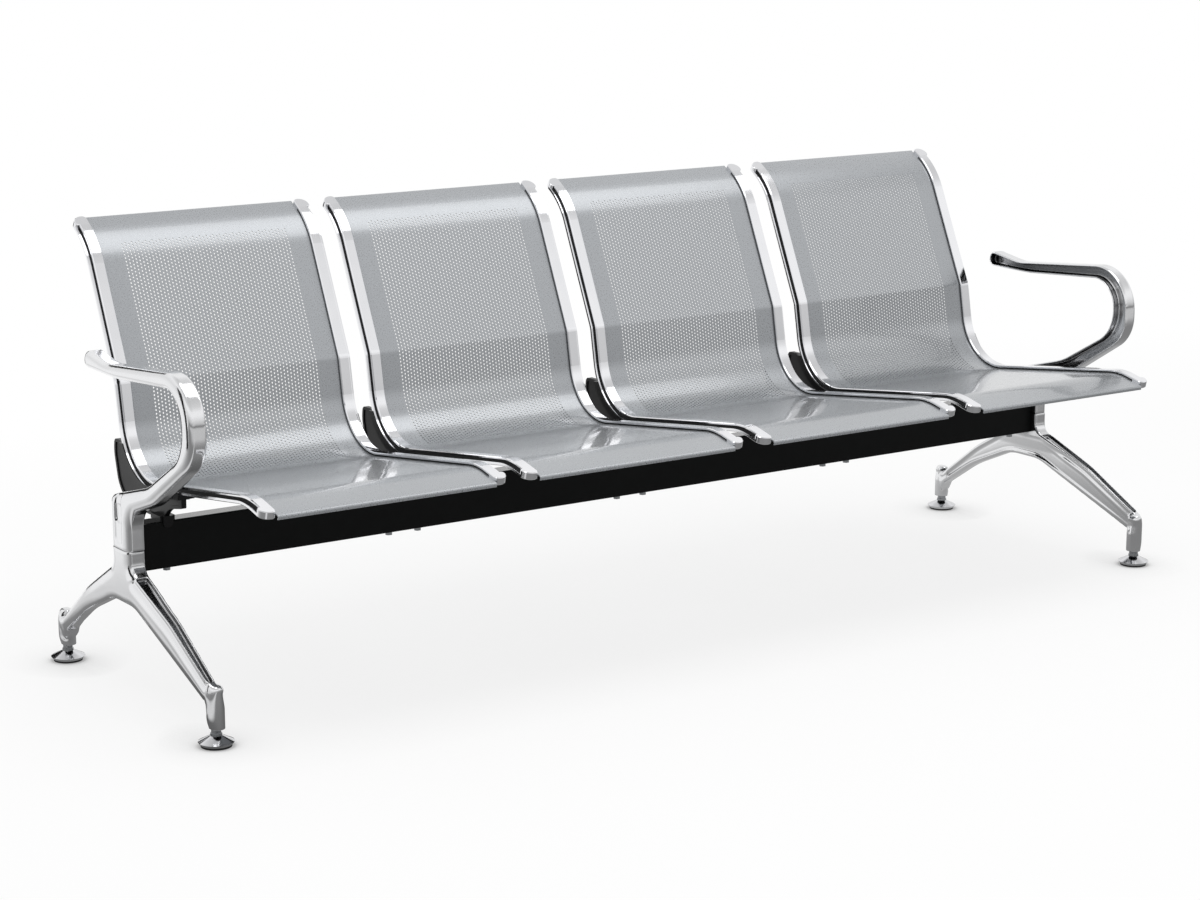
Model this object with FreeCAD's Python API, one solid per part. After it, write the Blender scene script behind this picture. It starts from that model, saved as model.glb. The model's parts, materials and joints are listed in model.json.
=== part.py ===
import FreeCAD, Part
import math
import os

# Beam seating for four people: one steel beam, two cast end legs, two cast armrests,
# four folded steel seats clamped between polished side strips, and four levelling feet.
# Millimetres. X runs along the row, Y to the back, Z up from the floor.
# The origin is on the floor, under the middle of the overall box.
# Outlines are lists of corners (y, z, radius) in the side view, walked so that the
# material or the sitter is on the left hand.

Vector = FreeCAD.Vector
UP = Vector(0, 0, 1)

# Row
seat_count = 4
seat_gap = 36.0
leg_beyond_seats = 40.0
foot_spacing_y = 640.0
feet_centre_y = 22.01

# Seat and back: the sitting surface, walked from the front edge to the top edge
# Reaches are counted ahead of the middle of the feet
seat_front_reach = 410.0
seat_front_z = 424.0
front_lip_length = 75.0
front_lip_rise_angle = 13.4
seat_length = 487.0
seat_slope = 7.5
lower_back_length = 191.0
lower_back_recline = 10.4
upper_back_length = 278.0
upper_back_recline = 24.9
top_curl_length = 75.0
top_curl_recline = 58.0
waterfall_radius = 150.0
seat_bend_radius = 122.0
crease_radius = 30.0
curl_radius = 150.0

# Sheet of the seat
sheet_width = 446.0
sheet_thickness = 2.0
flange_width = 19.0
front_hem_height = 8.0
top_hem_height = 8.0
hem_inner_radius = 2.0

# Openings of the sheet, in a plain grid over the field that the real sheet has fine holes in
field_width = 357.5
field_start_station = 478.0
field_length = 500.5
openings_across = 12
openings_along = 17
opening_share = 0.5

# Side strips: a rail under the sheet's flange, a black seal and a polished cover on it
rail_width = 29.0
rail_thickness = 6.0
seal_thickness = 3.0
seal_inset = 1.0
cover_width = 22.0
cover_thickness = 4.0
strip_set_back = 5.0
strip_tip_outer_radius = 18.0
strip_tip_inner_radius = 9.0
strip_end_length = 30.0
strip_shoulder_radius = 6.5
strip_edge_chamfer = 1.5

# Rail screws, counted from the front edge along the sitting surface
rail_screw_shank = 4.0
rail_screw_head = 7.6
rail_screw_head_height = 2.2
rail_screw_grip = 3.0
screw_inset = 5.5
front_screw_station = 40.0
bracket_front_screw_station = 350.0
bracket_rear_screw_station = 432.0
top_screw_station = 900.0
screw_clearance = 0.05
screw_hole_clearance = 0.4
blind_hole_spare = 0.4

# Sides of the prisms that stand for round shanks, heads and their holes
fastener_sides = 8

# Beam: a rectangular steel tube on its narrow side
beam_height = 90.0
beam_depth = 40.0
beam_wall = 2.5
beam_corner_radius = 4.0
beam_bottom_z = 243.0
beam_set_back = 24.0

# Castings: legs and armrests
casting_width = 36.0
post_depth = 76.0
leg_edge_radius = 5.0
arm_outer_edge_radius = 9.0
arm_inner_edge_radius = 4.0
spigot_length = 45.0
spigot_clearance = 0.2
spigot_bolt_inset = 22.0
cutter_overrun = 20.0

# Foot sockets of the legs
socket_diameter = 33.0
socket_bottom_z = 32.0
front_socket_top_z = 112.0
rear_socket_top_z = 104.0
socket_top_radius = 8.0
socket_lap = 6.0

# Front leg: reach is counted from the foot, rise and drop from the socket's top
leg_shoulder_drop = 40.0
leg_shoulder_radius = 26.0
front_leg_bend_reach = 150.0
front_leg_bend_rise = 79.0
front_leg_bend_radius = 260.0
front_leg_heel_reach = 15.0
front_leg_heel_drop = 36.0
front_leg_heel_radius = 14.0
front_leg_toe_drop = 58.0
front_leg_taper = 14.0

# Arch between the legs: reach is counted from the beam's middle, drop from the seam
arch_front_reach = 44.0
arch_front_drop = 104.0
arch_front_radius = 110.0
arch_rear_reach = 51.0
arch_rear_drop = 104.0
arch_rear_radius = 130.0

# Rear leg
rear_leg_calf_reach = 120.0
rear_leg_calf_rise = 26.0
rear_leg_calf_radius = 300.0
rear_leg_heel_reach = 24.0
rear_leg_heel_drop = 36.0
rear_leg_heel_radius = 12.0
rear_leg_toe_reach = 14.0
rear_leg_toe_drop = 56.0
rear_leg_top_drop = 22.0
rear_leg_bend_reach = 130.0
rear_leg_bend_rise = 75.0
rear_leg_bend_radius = 320.0
rear_shoulder_drop = 37.0
rear_shoulder_radius = 24.0

# Channel along the top of the front leg and recess on the inner side
leg_channel_rim = 5.0
leg_channel_depth = 8.0
leg_channel_start = 17.0
leg_channel_end = 12.0
leg_recess_rim = 8.0
leg_recess_depth = 4.0
leg_recess_drop = 54.0

# Armrest: reach is counted ahead of the post's front, rise from the seam
arm_neck_rear_rise = 96.0
arm_neck_rear_radius = 16.0
arm_inner_bend_reach = 76.0
arm_inner_bend_rise = 137.0
arm_inner_bend_radius = 180.0
arm_front_reach = 271.0
arm_front_thickness = 42.0
arm_inner_low_rise = 223.0
arm_inner_low_radius = 78.0
arm_inner_high_rise = 337.0
arm_inner_high_radius = 60.0
arm_outer_low_rise = 213.0
arm_outer_low_radius = 80.0
arm_outer_high_rise = 372.0
arm_outer_high_radius = 92.0
arm_outer_bend_reach = 96.0
arm_outer_bend_rise = 106.0
arm_outer_bend_radius = 150.0
arm_neck_front_rise = 72.0
arm_neck_front_radius = 42.0

# Arm top: depths are counted behind the post's front
arm_dip_under_depth = 44.0
arm_dip_under_rise = 317.0
arm_dip_under_radius = 380.0
arm_dip_top_rise = 339.0
arm_dip_top_radius = 160.0
arm_tip_under_depth = 178.0
arm_tip_under_rise = 319.0
arm_tip_top_depth = 168.0
arm_tip_top_rise = 354.0
arm_tip_radius = 15.0

# Hollow inner side of the armrest and the round-cornered recess on the outer side of its post
arm_recess_rim = 4.5
arm_recess_depth = 16.0
arm_recess_rise = 70.0
post_recess_width = 28.0
post_recess_height = 76.0
post_recess_radius = 10.0
post_recess_depth = 2.0
post_recess_rise = 48.0

# Seat brackets: a web under a cradle that follows the rail, standing on a foot
bracket_flange = 9.0
bracket_side_lip = 2.0
bracket_side_lip_height = 5.0
bracket_web = 10.0
bracket_pocket_depth = 2.0
bracket_rim = 6.0
bracket_front_reach = 79.0
bracket_nose_length = 11.0
bracket_front_drop = 29.0
bracket_front_radius = 4.0
bracket_neck_reach = 14.0
bracket_neck_rise = 26.0
bracket_neck_radius = 50.0
bracket_toe_inset = 10.0
bracket_heel_reach = 40.0
bracket_heel_radius = 90.0
bracket_tail_z = 453.0
bracket_tail_reach = 60.0
bracket_tail_lean = 4.0
bracket_tail_corner_radius = 10.0
bracket_tail_bend_drop = 25.0
bracket_tail_foot_inset = 22.0
bracket_tail_foot_rise = 10.0
bracket_tail_radius = 60.0
bracket_foot_width = 30.0
bracket_foot_height = 10.0
bracket_lip_width = 20.0
bracket_lip_height = 12.0
bracket_lip_thickness = 4.0

# M8 bolts: long ones through the beam into the brackets, short ones into the spigots
bolt_shank = 8.0
bolt_hole = 9.0
bolt_head_across = 13.0
bolt_head_height = 5.3
bracket_bolt_length = 98.0
bracket_bolt_spacing_y = 20.0
end_bolt_length = 22.5

# Levelling feet
stem_diameter = 10.0
stem_bore_clearance = 0.05
stem_insertion = 45.0
stem_bore_spare = 10.0
stem_head_diameter = 16.0
stem_head_height = 4.0
spanner_hex_across = 17.0
spanner_hex_height = 7.7
collar_flange_diameter = 21.5
collar_flange_height = 4.0
collar_gap = 0.3
cap_diameter = 66.0
cap_lower_diameter = 58.0
cap_lower_z = 4.0
cap_rim_z = 9.0
cap_top_diameter = 23.0
base_diameter = 56.0
base_height = 5.0
foot_fit_clearance = 0.1

# Derived places
seat_pitch = sheet_width + 2 * rail_width + seat_gap
foot_spacing_x = seat_count * seat_pitch + 2 * leg_beyond_seats
seat_front_y = feet_centre_y - seat_front_reach
bracket_front_y = feet_centre_y - bracket_front_reach
beam_centre_y = feet_centre_y + beam_set_back
beam_top_z = beam_bottom_z + beam_height
beam_front_y = beam_centre_y - beam_depth / 2
beam_rear_y = beam_centre_y + beam_depth / 2
post_front_y = beam_centre_y - post_depth / 2
post_rear_y = beam_centre_y + post_depth / 2
seam_z = beam_bottom_z + beam_height / 2
casting_outer_x = foot_spacing_x / 2 + casting_width / 2
casting_inner_x = foot_spacing_x / 2 - casting_width / 2
front_foot_y = feet_centre_y - foot_spacing_y / 2
rear_foot_y = feet_centre_y + foot_spacing_y / 2
rail_centre_x = sheet_width / 2 + rail_width / 2
rail_low = -sheet_thickness - rail_thickness
cover_high = seal_thickness + cover_thickness
cap_top_z = socket_bottom_z - spanner_hex_height - collar_flange_height - collar_gap
seat_centres_x = [(i - (seat_count - 1) / 2) * seat_pitch for i in range(seat_count)]


# Plane geometry of outlines

def unit(dy, dz):
    length = math.hypot(dy, dz)
    return dy / length, dz / length


def left_of(direction):
    return -direction[1], direction[0]


def directions_at(corners, i, closed):
    """Directions of travel into and out of corner i."""
    n = len(corners)
    y, z = corners[i][0], corners[i][1]
    before = corners[(i - 1) % n]
    after = corners[(i + 1) % n]
    come = unit(y - before[0], z - before[1]) if closed or i > 0 else None
    go = unit(after[0] - y, after[1] - z) if closed or i < n - 1 else None
    return come or go, go or come


def shifted(corners, distance, closed=False):
    """The same outline moved to its left by a distance, with its radii following."""
    moved = []
    for i, (y, z, radius) in enumerate(corners):
        come, go = directions_at(corners, i, closed)
        left_in = left_of(come)
        left_out = left_of(go)
        scale = distance / (1 + left_in[0] * left_out[0] + left_in[1] * left_out[1])
        turn = come[0] * go[1] - come[1] * go[0]
        new_radius = radius - distance if turn > 0 else radius + distance
        new_radius = max(new_radius, 0) if radius > 0 else 0
        moved.append((y + (left_in[0] + left_out[0]) * scale,
                      z + (left_in[1] + left_out[1]) * scale, new_radius))
    return moved


def lengthened(corners, at_start, at_end):
    """An open outline with its two ends moved outward."""
    come = directions_at(corners, 0, False)[1]
    go = directions_at(corners, len(corners) - 1, False)[0]
    first = (corners[0][0] - come[0] * at_start, corners[0][1] - come[1] * at_start, 0)
    last = (corners[-1][0] + go[0] * at_end, corners[-1][1] + go[1] * at_end, 0)
    return [first] + corners[1:-1] + [last]


def rounded_corner(corners, i, closed):
    """Start, middle and end of the arc at corner i, and how far the outline turns there."""
    y, z, radius = corners[i]
    come, go = directions_at(corners, i, closed)
    turn = math.atan2(come[0] * go[1] - come[1] * go[0], come[0] * go[0] + come[1] * go[1])
    if radius <= 0 or abs(turn) < 1e-6:
        return (y, z), (y, z), (y, z), 0.0
    reach = radius * math.tan(abs(turn) / 2)
    enter = (y - come[0] * reach, z - come[1] * reach)
    leave = (y + go[0] * reach, z + go[1] * reach)
    inward = unit(go[0] - come[0], go[1] - come[1])
    to_arc = radius / math.cos(turn / 2) - radius
    return enter, (y + inward[0] * to_arc, z + inward[1] * to_arc), leave, turn


def spans(corners, closed=False):
    """Straight and round spans of an outline, as start, middle, end and turn."""
    rounded = [rounded_corner(corners, i, closed) for i in range(len(corners))]
    following = rounded[1:] + rounded[:1] if closed else rounded[1:] + [None]
    result = []
    for this, after in zip(rounded, following):
        if this[3]:
            result.append(this)
        if after and math.dist(this[2], after[0]) > 1e-6:
            result.append((this[2], None, after[0], 0.0))
    return result


def station(corners, distance):
    """The point and the left-hand normal at a distance along an open outline."""
    for start, middle, end, turn in spans(corners):
        chord = math.dist(start, end)
        length = chord / 2 / math.sin(abs(turn) / 2) * abs(turn) if turn else chord
        if distance <= length:
            break
        distance -= length
    heading = math.atan2(end[1] - start[1], end[0] - start[0])
    reach = distance
    if turn:
        swept = turn * distance / length
        reach = 2 * length / abs(turn) * math.sin(abs(swept) / 2)
        chord_heading = heading - turn / 2 + swept / 2
        heading = heading - turn / 2 + swept
    else:
        chord_heading = heading
    place = (start[0] + math.cos(chord_heading) * reach, start[1] + math.sin(chord_heading) * reach)
    return place, (-math.sin(heading), math.cos(heading))


# Solids from outlines

def point(place, x=0.0):
    return Vector(x, place[0], place[1])


def edges_of(corners, x=0.0, closed=False):
    edges = []
    for start, middle, end, turn in spans(corners, closed):
        if middle is None:
            edges.append(Part.LineSegment(point(start, x), point(end, x)).toShape())
        else:
            edges.append(Part.Arc(point(start, x), point(middle, x), point(end, x)).toShape())
    return edges


def extruded(edges, length):
    return Part.Face(Part.Wire(Part.__sortEdges__(edges))).extrude(Vector(length, 0, 0))


def plate(corners, x_low, x_high):
    """A closed outline in the side view, as a solid between two places along X."""
    return extruded(edges_of(corners, x_low, closed=True), x_high - x_low)


def ribbon(corners, low, high, x_low, x_high):
    """The strip between two shifts of an open outline, as a solid along X."""
    lower = shifted(corners, low)
    upper = shifted(corners, high)
    edges = edges_of(lower, x_low) + edges_of(upper, x_low)
    for a, b in ((lower[0], upper[0]), (lower[-1], upper[-1])):
        edges.append(Part.LineSegment(point(a, x_low), point(b, x_low)).toShape())
    return extruded(edges, x_high - x_low)


def box(x_low, x_high, y_low, y_high, z_low, z_high):
    return Part.makeBox(x_high - x_low, y_high - y_low, z_high - z_low, Vector(x_low, y_low, z_low))


def rod(diameter, start, direction, length):
    return Part.makeCylinder(diameter / 2, length, start, direction)


def prism(sides, across, start, direction, height):
    """A regular prism, measured across its flats, standing on its start point."""
    radius = across / 2 / math.cos(math.pi / sides)
    angles = [2 * math.pi * i / sides for i in range(sides + 1)]
    corners = [Vector(radius * math.cos(angle), radius * math.sin(angle), 0) for angle in angles]
    solid = Part.Face(Part.makePolygon(corners)).extrude(Vector(0, 0, height))
    solid.Placement = FreeCAD.Placement(start, FreeCAD.Rotation(UP, direction))
    return solid


def fastener(across, start, direction, height):
    """A shank, a round head or a hole for one, kept to a few flat sides."""
    return prism(fastener_sides, across, start, direction, height)


def hexagon_bolt(place, direction, length):
    """A bolt whose head stands on a place and whose shank goes the other way."""
    shank = fastener(bolt_shank, place - direction * length, direction, length)
    head = prism(6, bolt_head_across, place, direction, bolt_head_height)
    return shank.fuse(head).removeSplitter()


def mirrored(shape):
    return shape.mirror(Vector(0, 0, 0), Vector(1, 0, 0))


def save(name, shapes):
    shape = shapes if isinstance(shapes, Part.Shape) else Part.makeCompound(shapes)
    shape.exportStep(os.path.join("parts", name + ".step"))
    print(name, len(shape.Solids), "solids", round(shape.Volume / 1000, 1), "cm3")


# Seat profile

def along(start, length, angle):
    """The point a length away, with the angle counted from +Y towards +Z."""
    return (start[0] + length * math.cos(math.radians(angle)),
            start[1] + length * math.sin(math.radians(angle)))


front_edge = (seat_front_y, seat_front_z)
waterfall = along(front_edge, front_lip_length, front_lip_rise_angle)
seat_bend = along(waterfall, seat_length, -seat_slope)
crease = along(seat_bend, lower_back_length, 90 - lower_back_recline)
curl = along(crease, upper_back_length, 90 - upper_back_recline)
top_edge = along(curl, top_curl_length, 90 - top_curl_recline)
seat_path = [(*front_edge, 0), (*waterfall, waterfall_radius), (*seat_bend, seat_bend_radius),
             (*crease, crease_radius), (*curl, curl_radius), (*top_edge, 0)]


def seat_line_z(y):
    """Height of the straight part of the sitting surface at a depth."""
    return waterfall[1] - (y - waterfall[0]) * math.tan(math.radians(seat_slope))


def back_line_y(z):
    """Depth of the straight part of the lower back at a height."""
    return seat_bend[0] + (z - seat_bend[1]) * math.tan(math.radians(lower_back_recline))


def above_seat(drop, x_low, x_high):
    """Everything above the seat profile moved down by a drop."""
    lowered = shifted(seat_path, -drop)
    high = top_edge[1] + cutter_overrun
    closing = [lowered[-1], (lowered[-1][0], high), (lowered[0][0], high), lowered[0]]
    edges = edges_of(lowered, x_low)
    for a, b in zip(closing, closing[1:]):
        edges.append(Part.LineSegment(point(a, x_low), point(b, x_low)).toShape())
    return extruded(edges, x_high - x_low)


# Screws that clamp the sheet between the rails and the covers

def screw_places(side):
    """Where the head of each screw of one side touches, its direction and the grip below the cover."""
    x = side * (sheet_width / 2 + screw_inset)
    stations = [(front_screw_station, 0), (bracket_front_screw_station, bracket_flange),
                (bracket_rear_screw_station, bracket_flange), (top_screw_station, 0)]
    places = []
    for distance, bracket_depth in stations:
        place, normal = station(seat_path, distance)
        below = -rail_low + bracket_depth
        start = Vector(x, place[0] - normal[0] * below, place[1] - normal[1] * below)
        places.append((start, Vector(0, normal[0], normal[1]), below + seal_thickness))
    return places


def screw_holes(side):
    """Clearance holes through all that a side's screws pass on their way to the cover."""
    diameter = rail_screw_shank + screw_hole_clearance
    return [fastener(diameter, start, normal, held) for start, normal, held in screw_places(side)]


def threaded_holes(side):
    """Blind holes in the cover for the ends of a side's screws."""
    diameter = rail_screw_shank + 2 * screw_clearance
    depth = rail_screw_grip + blind_hole_spare
    return [fastener(diameter, start, normal, held + depth) for start, normal, held in screw_places(side)]


def rail_screws():
    screws = []
    for side in (-1, 1):
        for start, normal, held in screw_places(side):
            shank = fastener(rail_screw_shank, start, normal, held + rail_screw_grip)
            below = start - normal * rail_screw_head_height
            head = fastener(rail_screw_head, below, normal, rail_screw_head_height)
            screws.append(shank.fuse(head).removeSplitter())
    return screws


# Seats

def seat_pan():
    """One folded sheet: hemmed front and top, with plain flanges at both sides."""
    bend_radius = hem_inner_radius + sheet_thickness
    front_down = left_of(directions_at(seat_path, 0, False)[1])
    top_down = left_of(directions_at(seat_path, len(seat_path) - 1, False)[0])
    front_low = (front_edge[0] - front_down[0] * front_hem_height,
                 front_edge[1] - front_down[1] * front_hem_height, 0)
    top_low = (top_edge[0] - top_down[0] * top_hem_height, top_edge[1] - top_down[1] * top_hem_height, 0)
    hemmed = [front_low, (*front_edge, bend_radius)] + seat_path[1:-1] + [(*top_edge, bend_radius), top_low]
    pan = ribbon(hemmed, -sheet_thickness, 0, -sheet_width / 2, sheet_width / 2)
    flanges = [band(side, 0, flange_width, strip_end_length, -sheet_thickness, 0) for side in (-1, 1)]
    pan = pan.fuse(flanges).removeSplitter()
    return pan.cut(screw_holes(-1) + screw_holes(1) + field_openings())


def field_openings():
    """Square cutters in a grid, each square to the sheet where it goes through."""
    pitch_across = field_width / openings_across
    pitch_along = field_length / openings_along
    wide = pitch_across * opening_share
    tall = pitch_along * opening_share
    cutters = []
    for row in range(openings_along):
        place, normal = station(seat_path, field_start_station + (row + 0.5) * pitch_along)
        slope = FreeCAD.Rotation(UP, Vector(0, normal[0], normal[1]))
        for column in range(openings_across):
            x = (column + 0.5) * pitch_across - field_width / 2
            cutter = box(-wide / 2, wide / 2, -tall / 2, tall / 2, -2 * sheet_thickness, sheet_thickness)
            cutter.Placement = FreeCAD.Placement(point(place, x), slope)
            cutters.append(cutter)
    return cutters


# Side strips

def band(side, inner, outer, set_back, low, high):
    """A plain strip beside the sheet, between two reaches from the sheet's edge."""
    path = lengthened(seat_path, -set_back, -set_back)
    places = sorted(side * (sheet_width / 2 + reach) for reach in (inner, outer))
    return ribbon(path, low, high, *places)


def with_round_corners(strip, side, reach, set_back, level, radius):
    """A strip with its corners at one reach rounded, at a set-back from both ends."""
    line = shifted(lengthened(seat_path, -set_back, -set_back), level)
    for end in (line[0], line[-1]):
        corner = point(end, side * (sheet_width / 2 + reach))
        edge = min(strip.Edges, key=lambda edge: (edge.CenterOfMass - corner).Length)
        strip = strip.makeFillet(radius, [edge])
    return strip


def wide_strip(side, low, high):
    """A strip of the rail's width with round tips."""
    level = (low + high) / 2
    strip = band(side, 0, rail_width, strip_set_back, low, high)
    strip = with_round_corners(strip, side, rail_width, strip_set_back, level, strip_tip_outer_radius)
    return with_round_corners(strip, side, 0, strip_set_back, level, strip_tip_inner_radius)


def strip_ends(side, low, high):
    """The two ends of a wide strip, each with a round shoulder where the narrow part begins."""
    level = (low + high) / 2
    middle = band(side, -1, rail_width + 1, strip_end_length, low - 1, high + 1)
    ends = wide_strip(side, low, high).cut(middle)
    return with_round_corners(ends, side, rail_width, strip_end_length, level, strip_shoulder_radius)


def chamfered(strip, level):
    """A side strip with the edges of the face on one level chamfered."""
    path = shifted(seat_path, level)
    reach = sheet_width / 2 + rail_width
    bare_face = ribbon(path, -0.01, 0.01, -reach - 1, reach + 1)
    edges = [edge for edge in strip.Edges if bare_face.common(edge).Length > edge.Length * 0.99]
    return strip.makeChamfer(strip_edge_chamfer, edges)


def seat_rail(side):
    """The bar under the sheet's flange that the bracket carries, with raised ends."""
    bar = chamfered(wide_strip(side, rail_low, -sheet_thickness), rail_low)
    return bar.fuse(strip_ends(side, -sheet_thickness, seal_thickness)).removeSplitter().cut(screw_holes(side))


def rail_cover(side):
    """The polished strip on top, wider over the rail's raised ends, with blind holes from below."""
    strip = band(side, 0, cover_width, strip_end_length, seal_thickness, cover_high)
    strip = strip.fuse(strip_ends(side, seal_thickness, cover_high)).removeSplitter()
    return chamfered(strip, cover_high).cut(threaded_holes(side))


def rail_seal(side):
    """A black strip over the sheet's flange that also closes the slot beside its edge."""
    outer = cover_width - seal_inset
    over = band(side, seal_inset, outer, strip_end_length, 0, seal_thickness)
    beside = band(side, flange_width, outer, strip_end_length, -sheet_thickness, 0)
    return over.fuse(beside).removeSplitter().cut(screw_holes(side))


# Brackets

def bracket_outline():
    """Side view of a bracket's web, before its top is trimmed under the rail."""
    web_front_y = bracket_front_y + bracket_nose_length
    web_front_z = seat_line_z(bracket_front_y) + rail_low - bracket_front_drop
    tail_y = back_line_y(bracket_tail_z) + bracket_tail_reach
    return [(web_front_y, bracket_tail_z, 0),
            (web_front_y, web_front_z, bracket_front_radius),
            (beam_front_y - bracket_neck_reach, beam_top_z + bracket_neck_rise, bracket_neck_radius),
            (beam_front_y + bracket_toe_inset, beam_top_z, 0),
            (beam_rear_y + bracket_heel_reach, beam_top_z, bracket_heel_radius),
            (tail_y - bracket_tail_foot_inset, beam_top_z + bracket_tail_foot_rise, bracket_tail_radius),
            (tail_y, bracket_tail_z - bracket_tail_bend_drop, bracket_tail_radius),
            (tail_y - bracket_tail_lean, bracket_tail_z, bracket_tail_corner_radius)]


def bracket_bolt_places(x):
    """Places on the beam's underside where the two bolts of a bracket go in."""
    return [Vector(x, beam_centre_y + a * bracket_bolt_spacing_y / 2, beam_bottom_z) for a in (-1, 1)]


def beam_lip(x):
    """The rounded tongue of a bracket's foot that hangs over the beam's front edge."""
    low = beam_top_z - bracket_lip_height + bracket_lip_width / 2
    front = beam_front_y - bracket_lip_thickness
    half = bracket_lip_width / 2
    square = box(x - half, x + half, front, beam_front_y, low, beam_top_z + bracket_foot_height)
    return square.fuse(rod(bracket_lip_width, Vector(x, front, low), Vector(0, 1, 0), bracket_lip_thickness))


def seat_bracket(side):
    """A cast bracket: a pocketed web, a flange along the rail, a foot and a lip on the beam."""
    centre = side * rail_centre_x
    outline = bracket_outline()
    web = plate(outline, centre - bracket_web / 2, centre + bracket_web / 2)
    web = web.cut(above_seat(-rail_low, centre - bracket_web, centre + bracket_web))
    core = bracket_web / 2 - bracket_pocket_depth
    for x_low, x_high in ((-bracket_web / 2, -core), (core, bracket_web / 2)):
        pocket = plate(shifted(outline, bracket_rim, closed=True), centre + x_low, centre + x_high)
        web = web.cut(pocket.cut(above_seat(-rail_low + bracket_flange + bracket_rim,
                                            centre + x_low - 1, centre + x_high + 1)))
    half_rail = rail_width / 2
    half_cradle = half_rail + bracket_side_lip
    cradle = ribbon(seat_path, rail_low - bracket_flange, rail_low + bracket_side_lip_height,
                    centre - half_cradle, centre + half_cradle)
    rail_room = ribbon(seat_path, rail_low, rail_low + cutter_overrun, centre - half_rail, centre + half_rail)
    cradle = cradle.common(box(centre - half_cradle, centre + half_cradle,
                               bracket_front_y, top_edge[0], 0, bracket_tail_z)).cut(rail_room)
    half_foot = bracket_foot_width / 2
    foot = box(centre - half_foot, centre + half_foot, beam_front_y, beam_rear_y,
               beam_top_z, beam_top_z + bracket_foot_height)
    bracket = web.fuse([cradle, foot, beam_lip(centre)]).removeSplitter()
    depth = bracket_bolt_length + blind_hole_spare
    bore = bolt_shank + 2 * screw_clearance
    bolt_holes = [fastener(bore, place, UP, depth) for place in bracket_bolt_places(centre)]
    return bracket.cut(bolt_holes + screw_holes(side))


def all_bracket_bolt_places():
    places = []
    for seat_x in seat_centres_x:
        for side in (-1, 1):
            places += bracket_bolt_places(seat_x + side * rail_centre_x)
    return places


def bracket_bolts():
    return [hexagon_bolt(place, -UP, bracket_bolt_length) for place in all_bracket_bolt_places()]


# Beam and what holds its ends

def end_bolt_places(side):
    """Mouths of the bolt holes in the back of the beam, for the leg and the armrest."""
    x = side * (casting_inner_x - spigot_bolt_inset)
    return [Vector(x, beam_rear_y, seam_z - beam_height / 4), Vector(x, beam_rear_y, seam_z + beam_height / 4)]


def beam_section():
    return [(beam_centre_y + a * beam_depth / 2, seam_z + b * beam_height / 2, beam_corner_radius)
            for a, b in ((-1, -1), (1, -1), (1, 1), (-1, 1))]


def beam():
    outer = plate(beam_section(), -casting_inner_x, casting_inner_x)
    inner = plate(shifted(beam_section(), beam_wall, closed=True), -casting_inner_x, casting_inner_x)
    holes = []
    for place in all_bracket_bolt_places():
        holes.append(fastener(bolt_hole, place, UP, beam_height))
    for place in end_bolt_places(-1) + end_bolt_places(1):
        holes.append(fastener(bolt_hole, place - Vector(0, beam_wall, 0), Vector(0, 1, 0), beam_wall))
    return outer.cut([inner] + holes)


def end_bolts():
    places = end_bolt_places(-1) + end_bolt_places(1)
    return [hexagon_bolt(place, Vector(0, 1, 0), end_bolt_length) for place in places]


def spigot(z_low, z_high, bolt_place):
    """The block of a left casting that reaches into the open end of the beam, and its bolt hole."""
    end_x = -casting_inner_x + spigot_length
    section = shifted(beam_section(), beam_wall + spigot_clearance, closed=True)
    block = plate(section, -casting_inner_x, end_x)
    block = block.common(box(-casting_inner_x, end_x, beam_front_y, beam_rear_y, z_low, z_high))
    length = end_bolt_length + blind_hole_spare
    bore = bolt_shank + 2 * screw_clearance
    hole = fastener(bore, bolt_place - Vector(0, length, 0), Vector(0, 1, 0), length)
    return block, hole


def rounded_casting(corners, outer_radius, inner_radius):
    """A left casting from its outline, with both rims rounded and its seam edges left sharp."""
    solid = plate(corners, -casting_outer_x, -casting_inner_x)
    for x, radius in ((-casting_outer_x, outer_radius), (-casting_inner_x, inner_radius)):
        rims = []
        for edge in solid.Edges:
            bounds = edge.BoundBox
            on_seam = bounds.ZLength < 0.01 and abs(bounds.ZMin - seam_z) < 0.01
            if bounds.XLength < 0.01 and abs(bounds.XMin - x) < 0.01 and not on_seam:
                rims.append(edge)
        solid = solid.makeFillet(radius, rims)
    return solid


# Legs

def leg_upper_line():
    """Top of the front leg, from the post down to the front foot."""
    return [(post_front_y, seam_z, 0),
            (post_front_y, seam_z - leg_shoulder_drop, leg_shoulder_radius),
            (front_foot_y + front_leg_bend_reach, front_socket_top_z + front_leg_bend_rise, front_leg_bend_radius),
            (front_foot_y - socket_lap, front_socket_top_z, 0)]


def leg_outline():
    """Side view of a leg without its foot sockets, counterclockwise from the seam."""
    return leg_upper_line() + [
        (front_foot_y, front_socket_top_z - front_leg_toe_drop, 0),
        (front_foot_y + front_leg_heel_reach, front_socket_top_z - front_leg_heel_drop, front_leg_heel_radius),
        (beam_centre_y - arch_front_reach, seam_z - arch_front_drop, arch_front_radius),
        (beam_centre_y + arch_rear_reach, seam_z - arch_rear_drop, arch_rear_radius),
        (rear_foot_y - rear_leg_calf_reach, rear_socket_top_z + rear_leg_calf_rise, rear_leg_calf_radius),
        (rear_foot_y - rear_leg_heel_reach, rear_socket_top_z - rear_leg_heel_drop, rear_leg_heel_radius),
        (rear_foot_y - rear_leg_toe_reach, rear_socket_top_z - rear_leg_toe_drop, 0),
        (rear_foot_y, rear_socket_top_z - rear_leg_top_drop, 0),
        (rear_foot_y - rear_leg_bend_reach, rear_socket_top_z + rear_leg_bend_rise, rear_leg_bend_radius),
        (post_rear_y, seam_z - rear_shoulder_drop, rear_shoulder_radius),
        (post_rear_y, seam_z, 0)]


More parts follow.
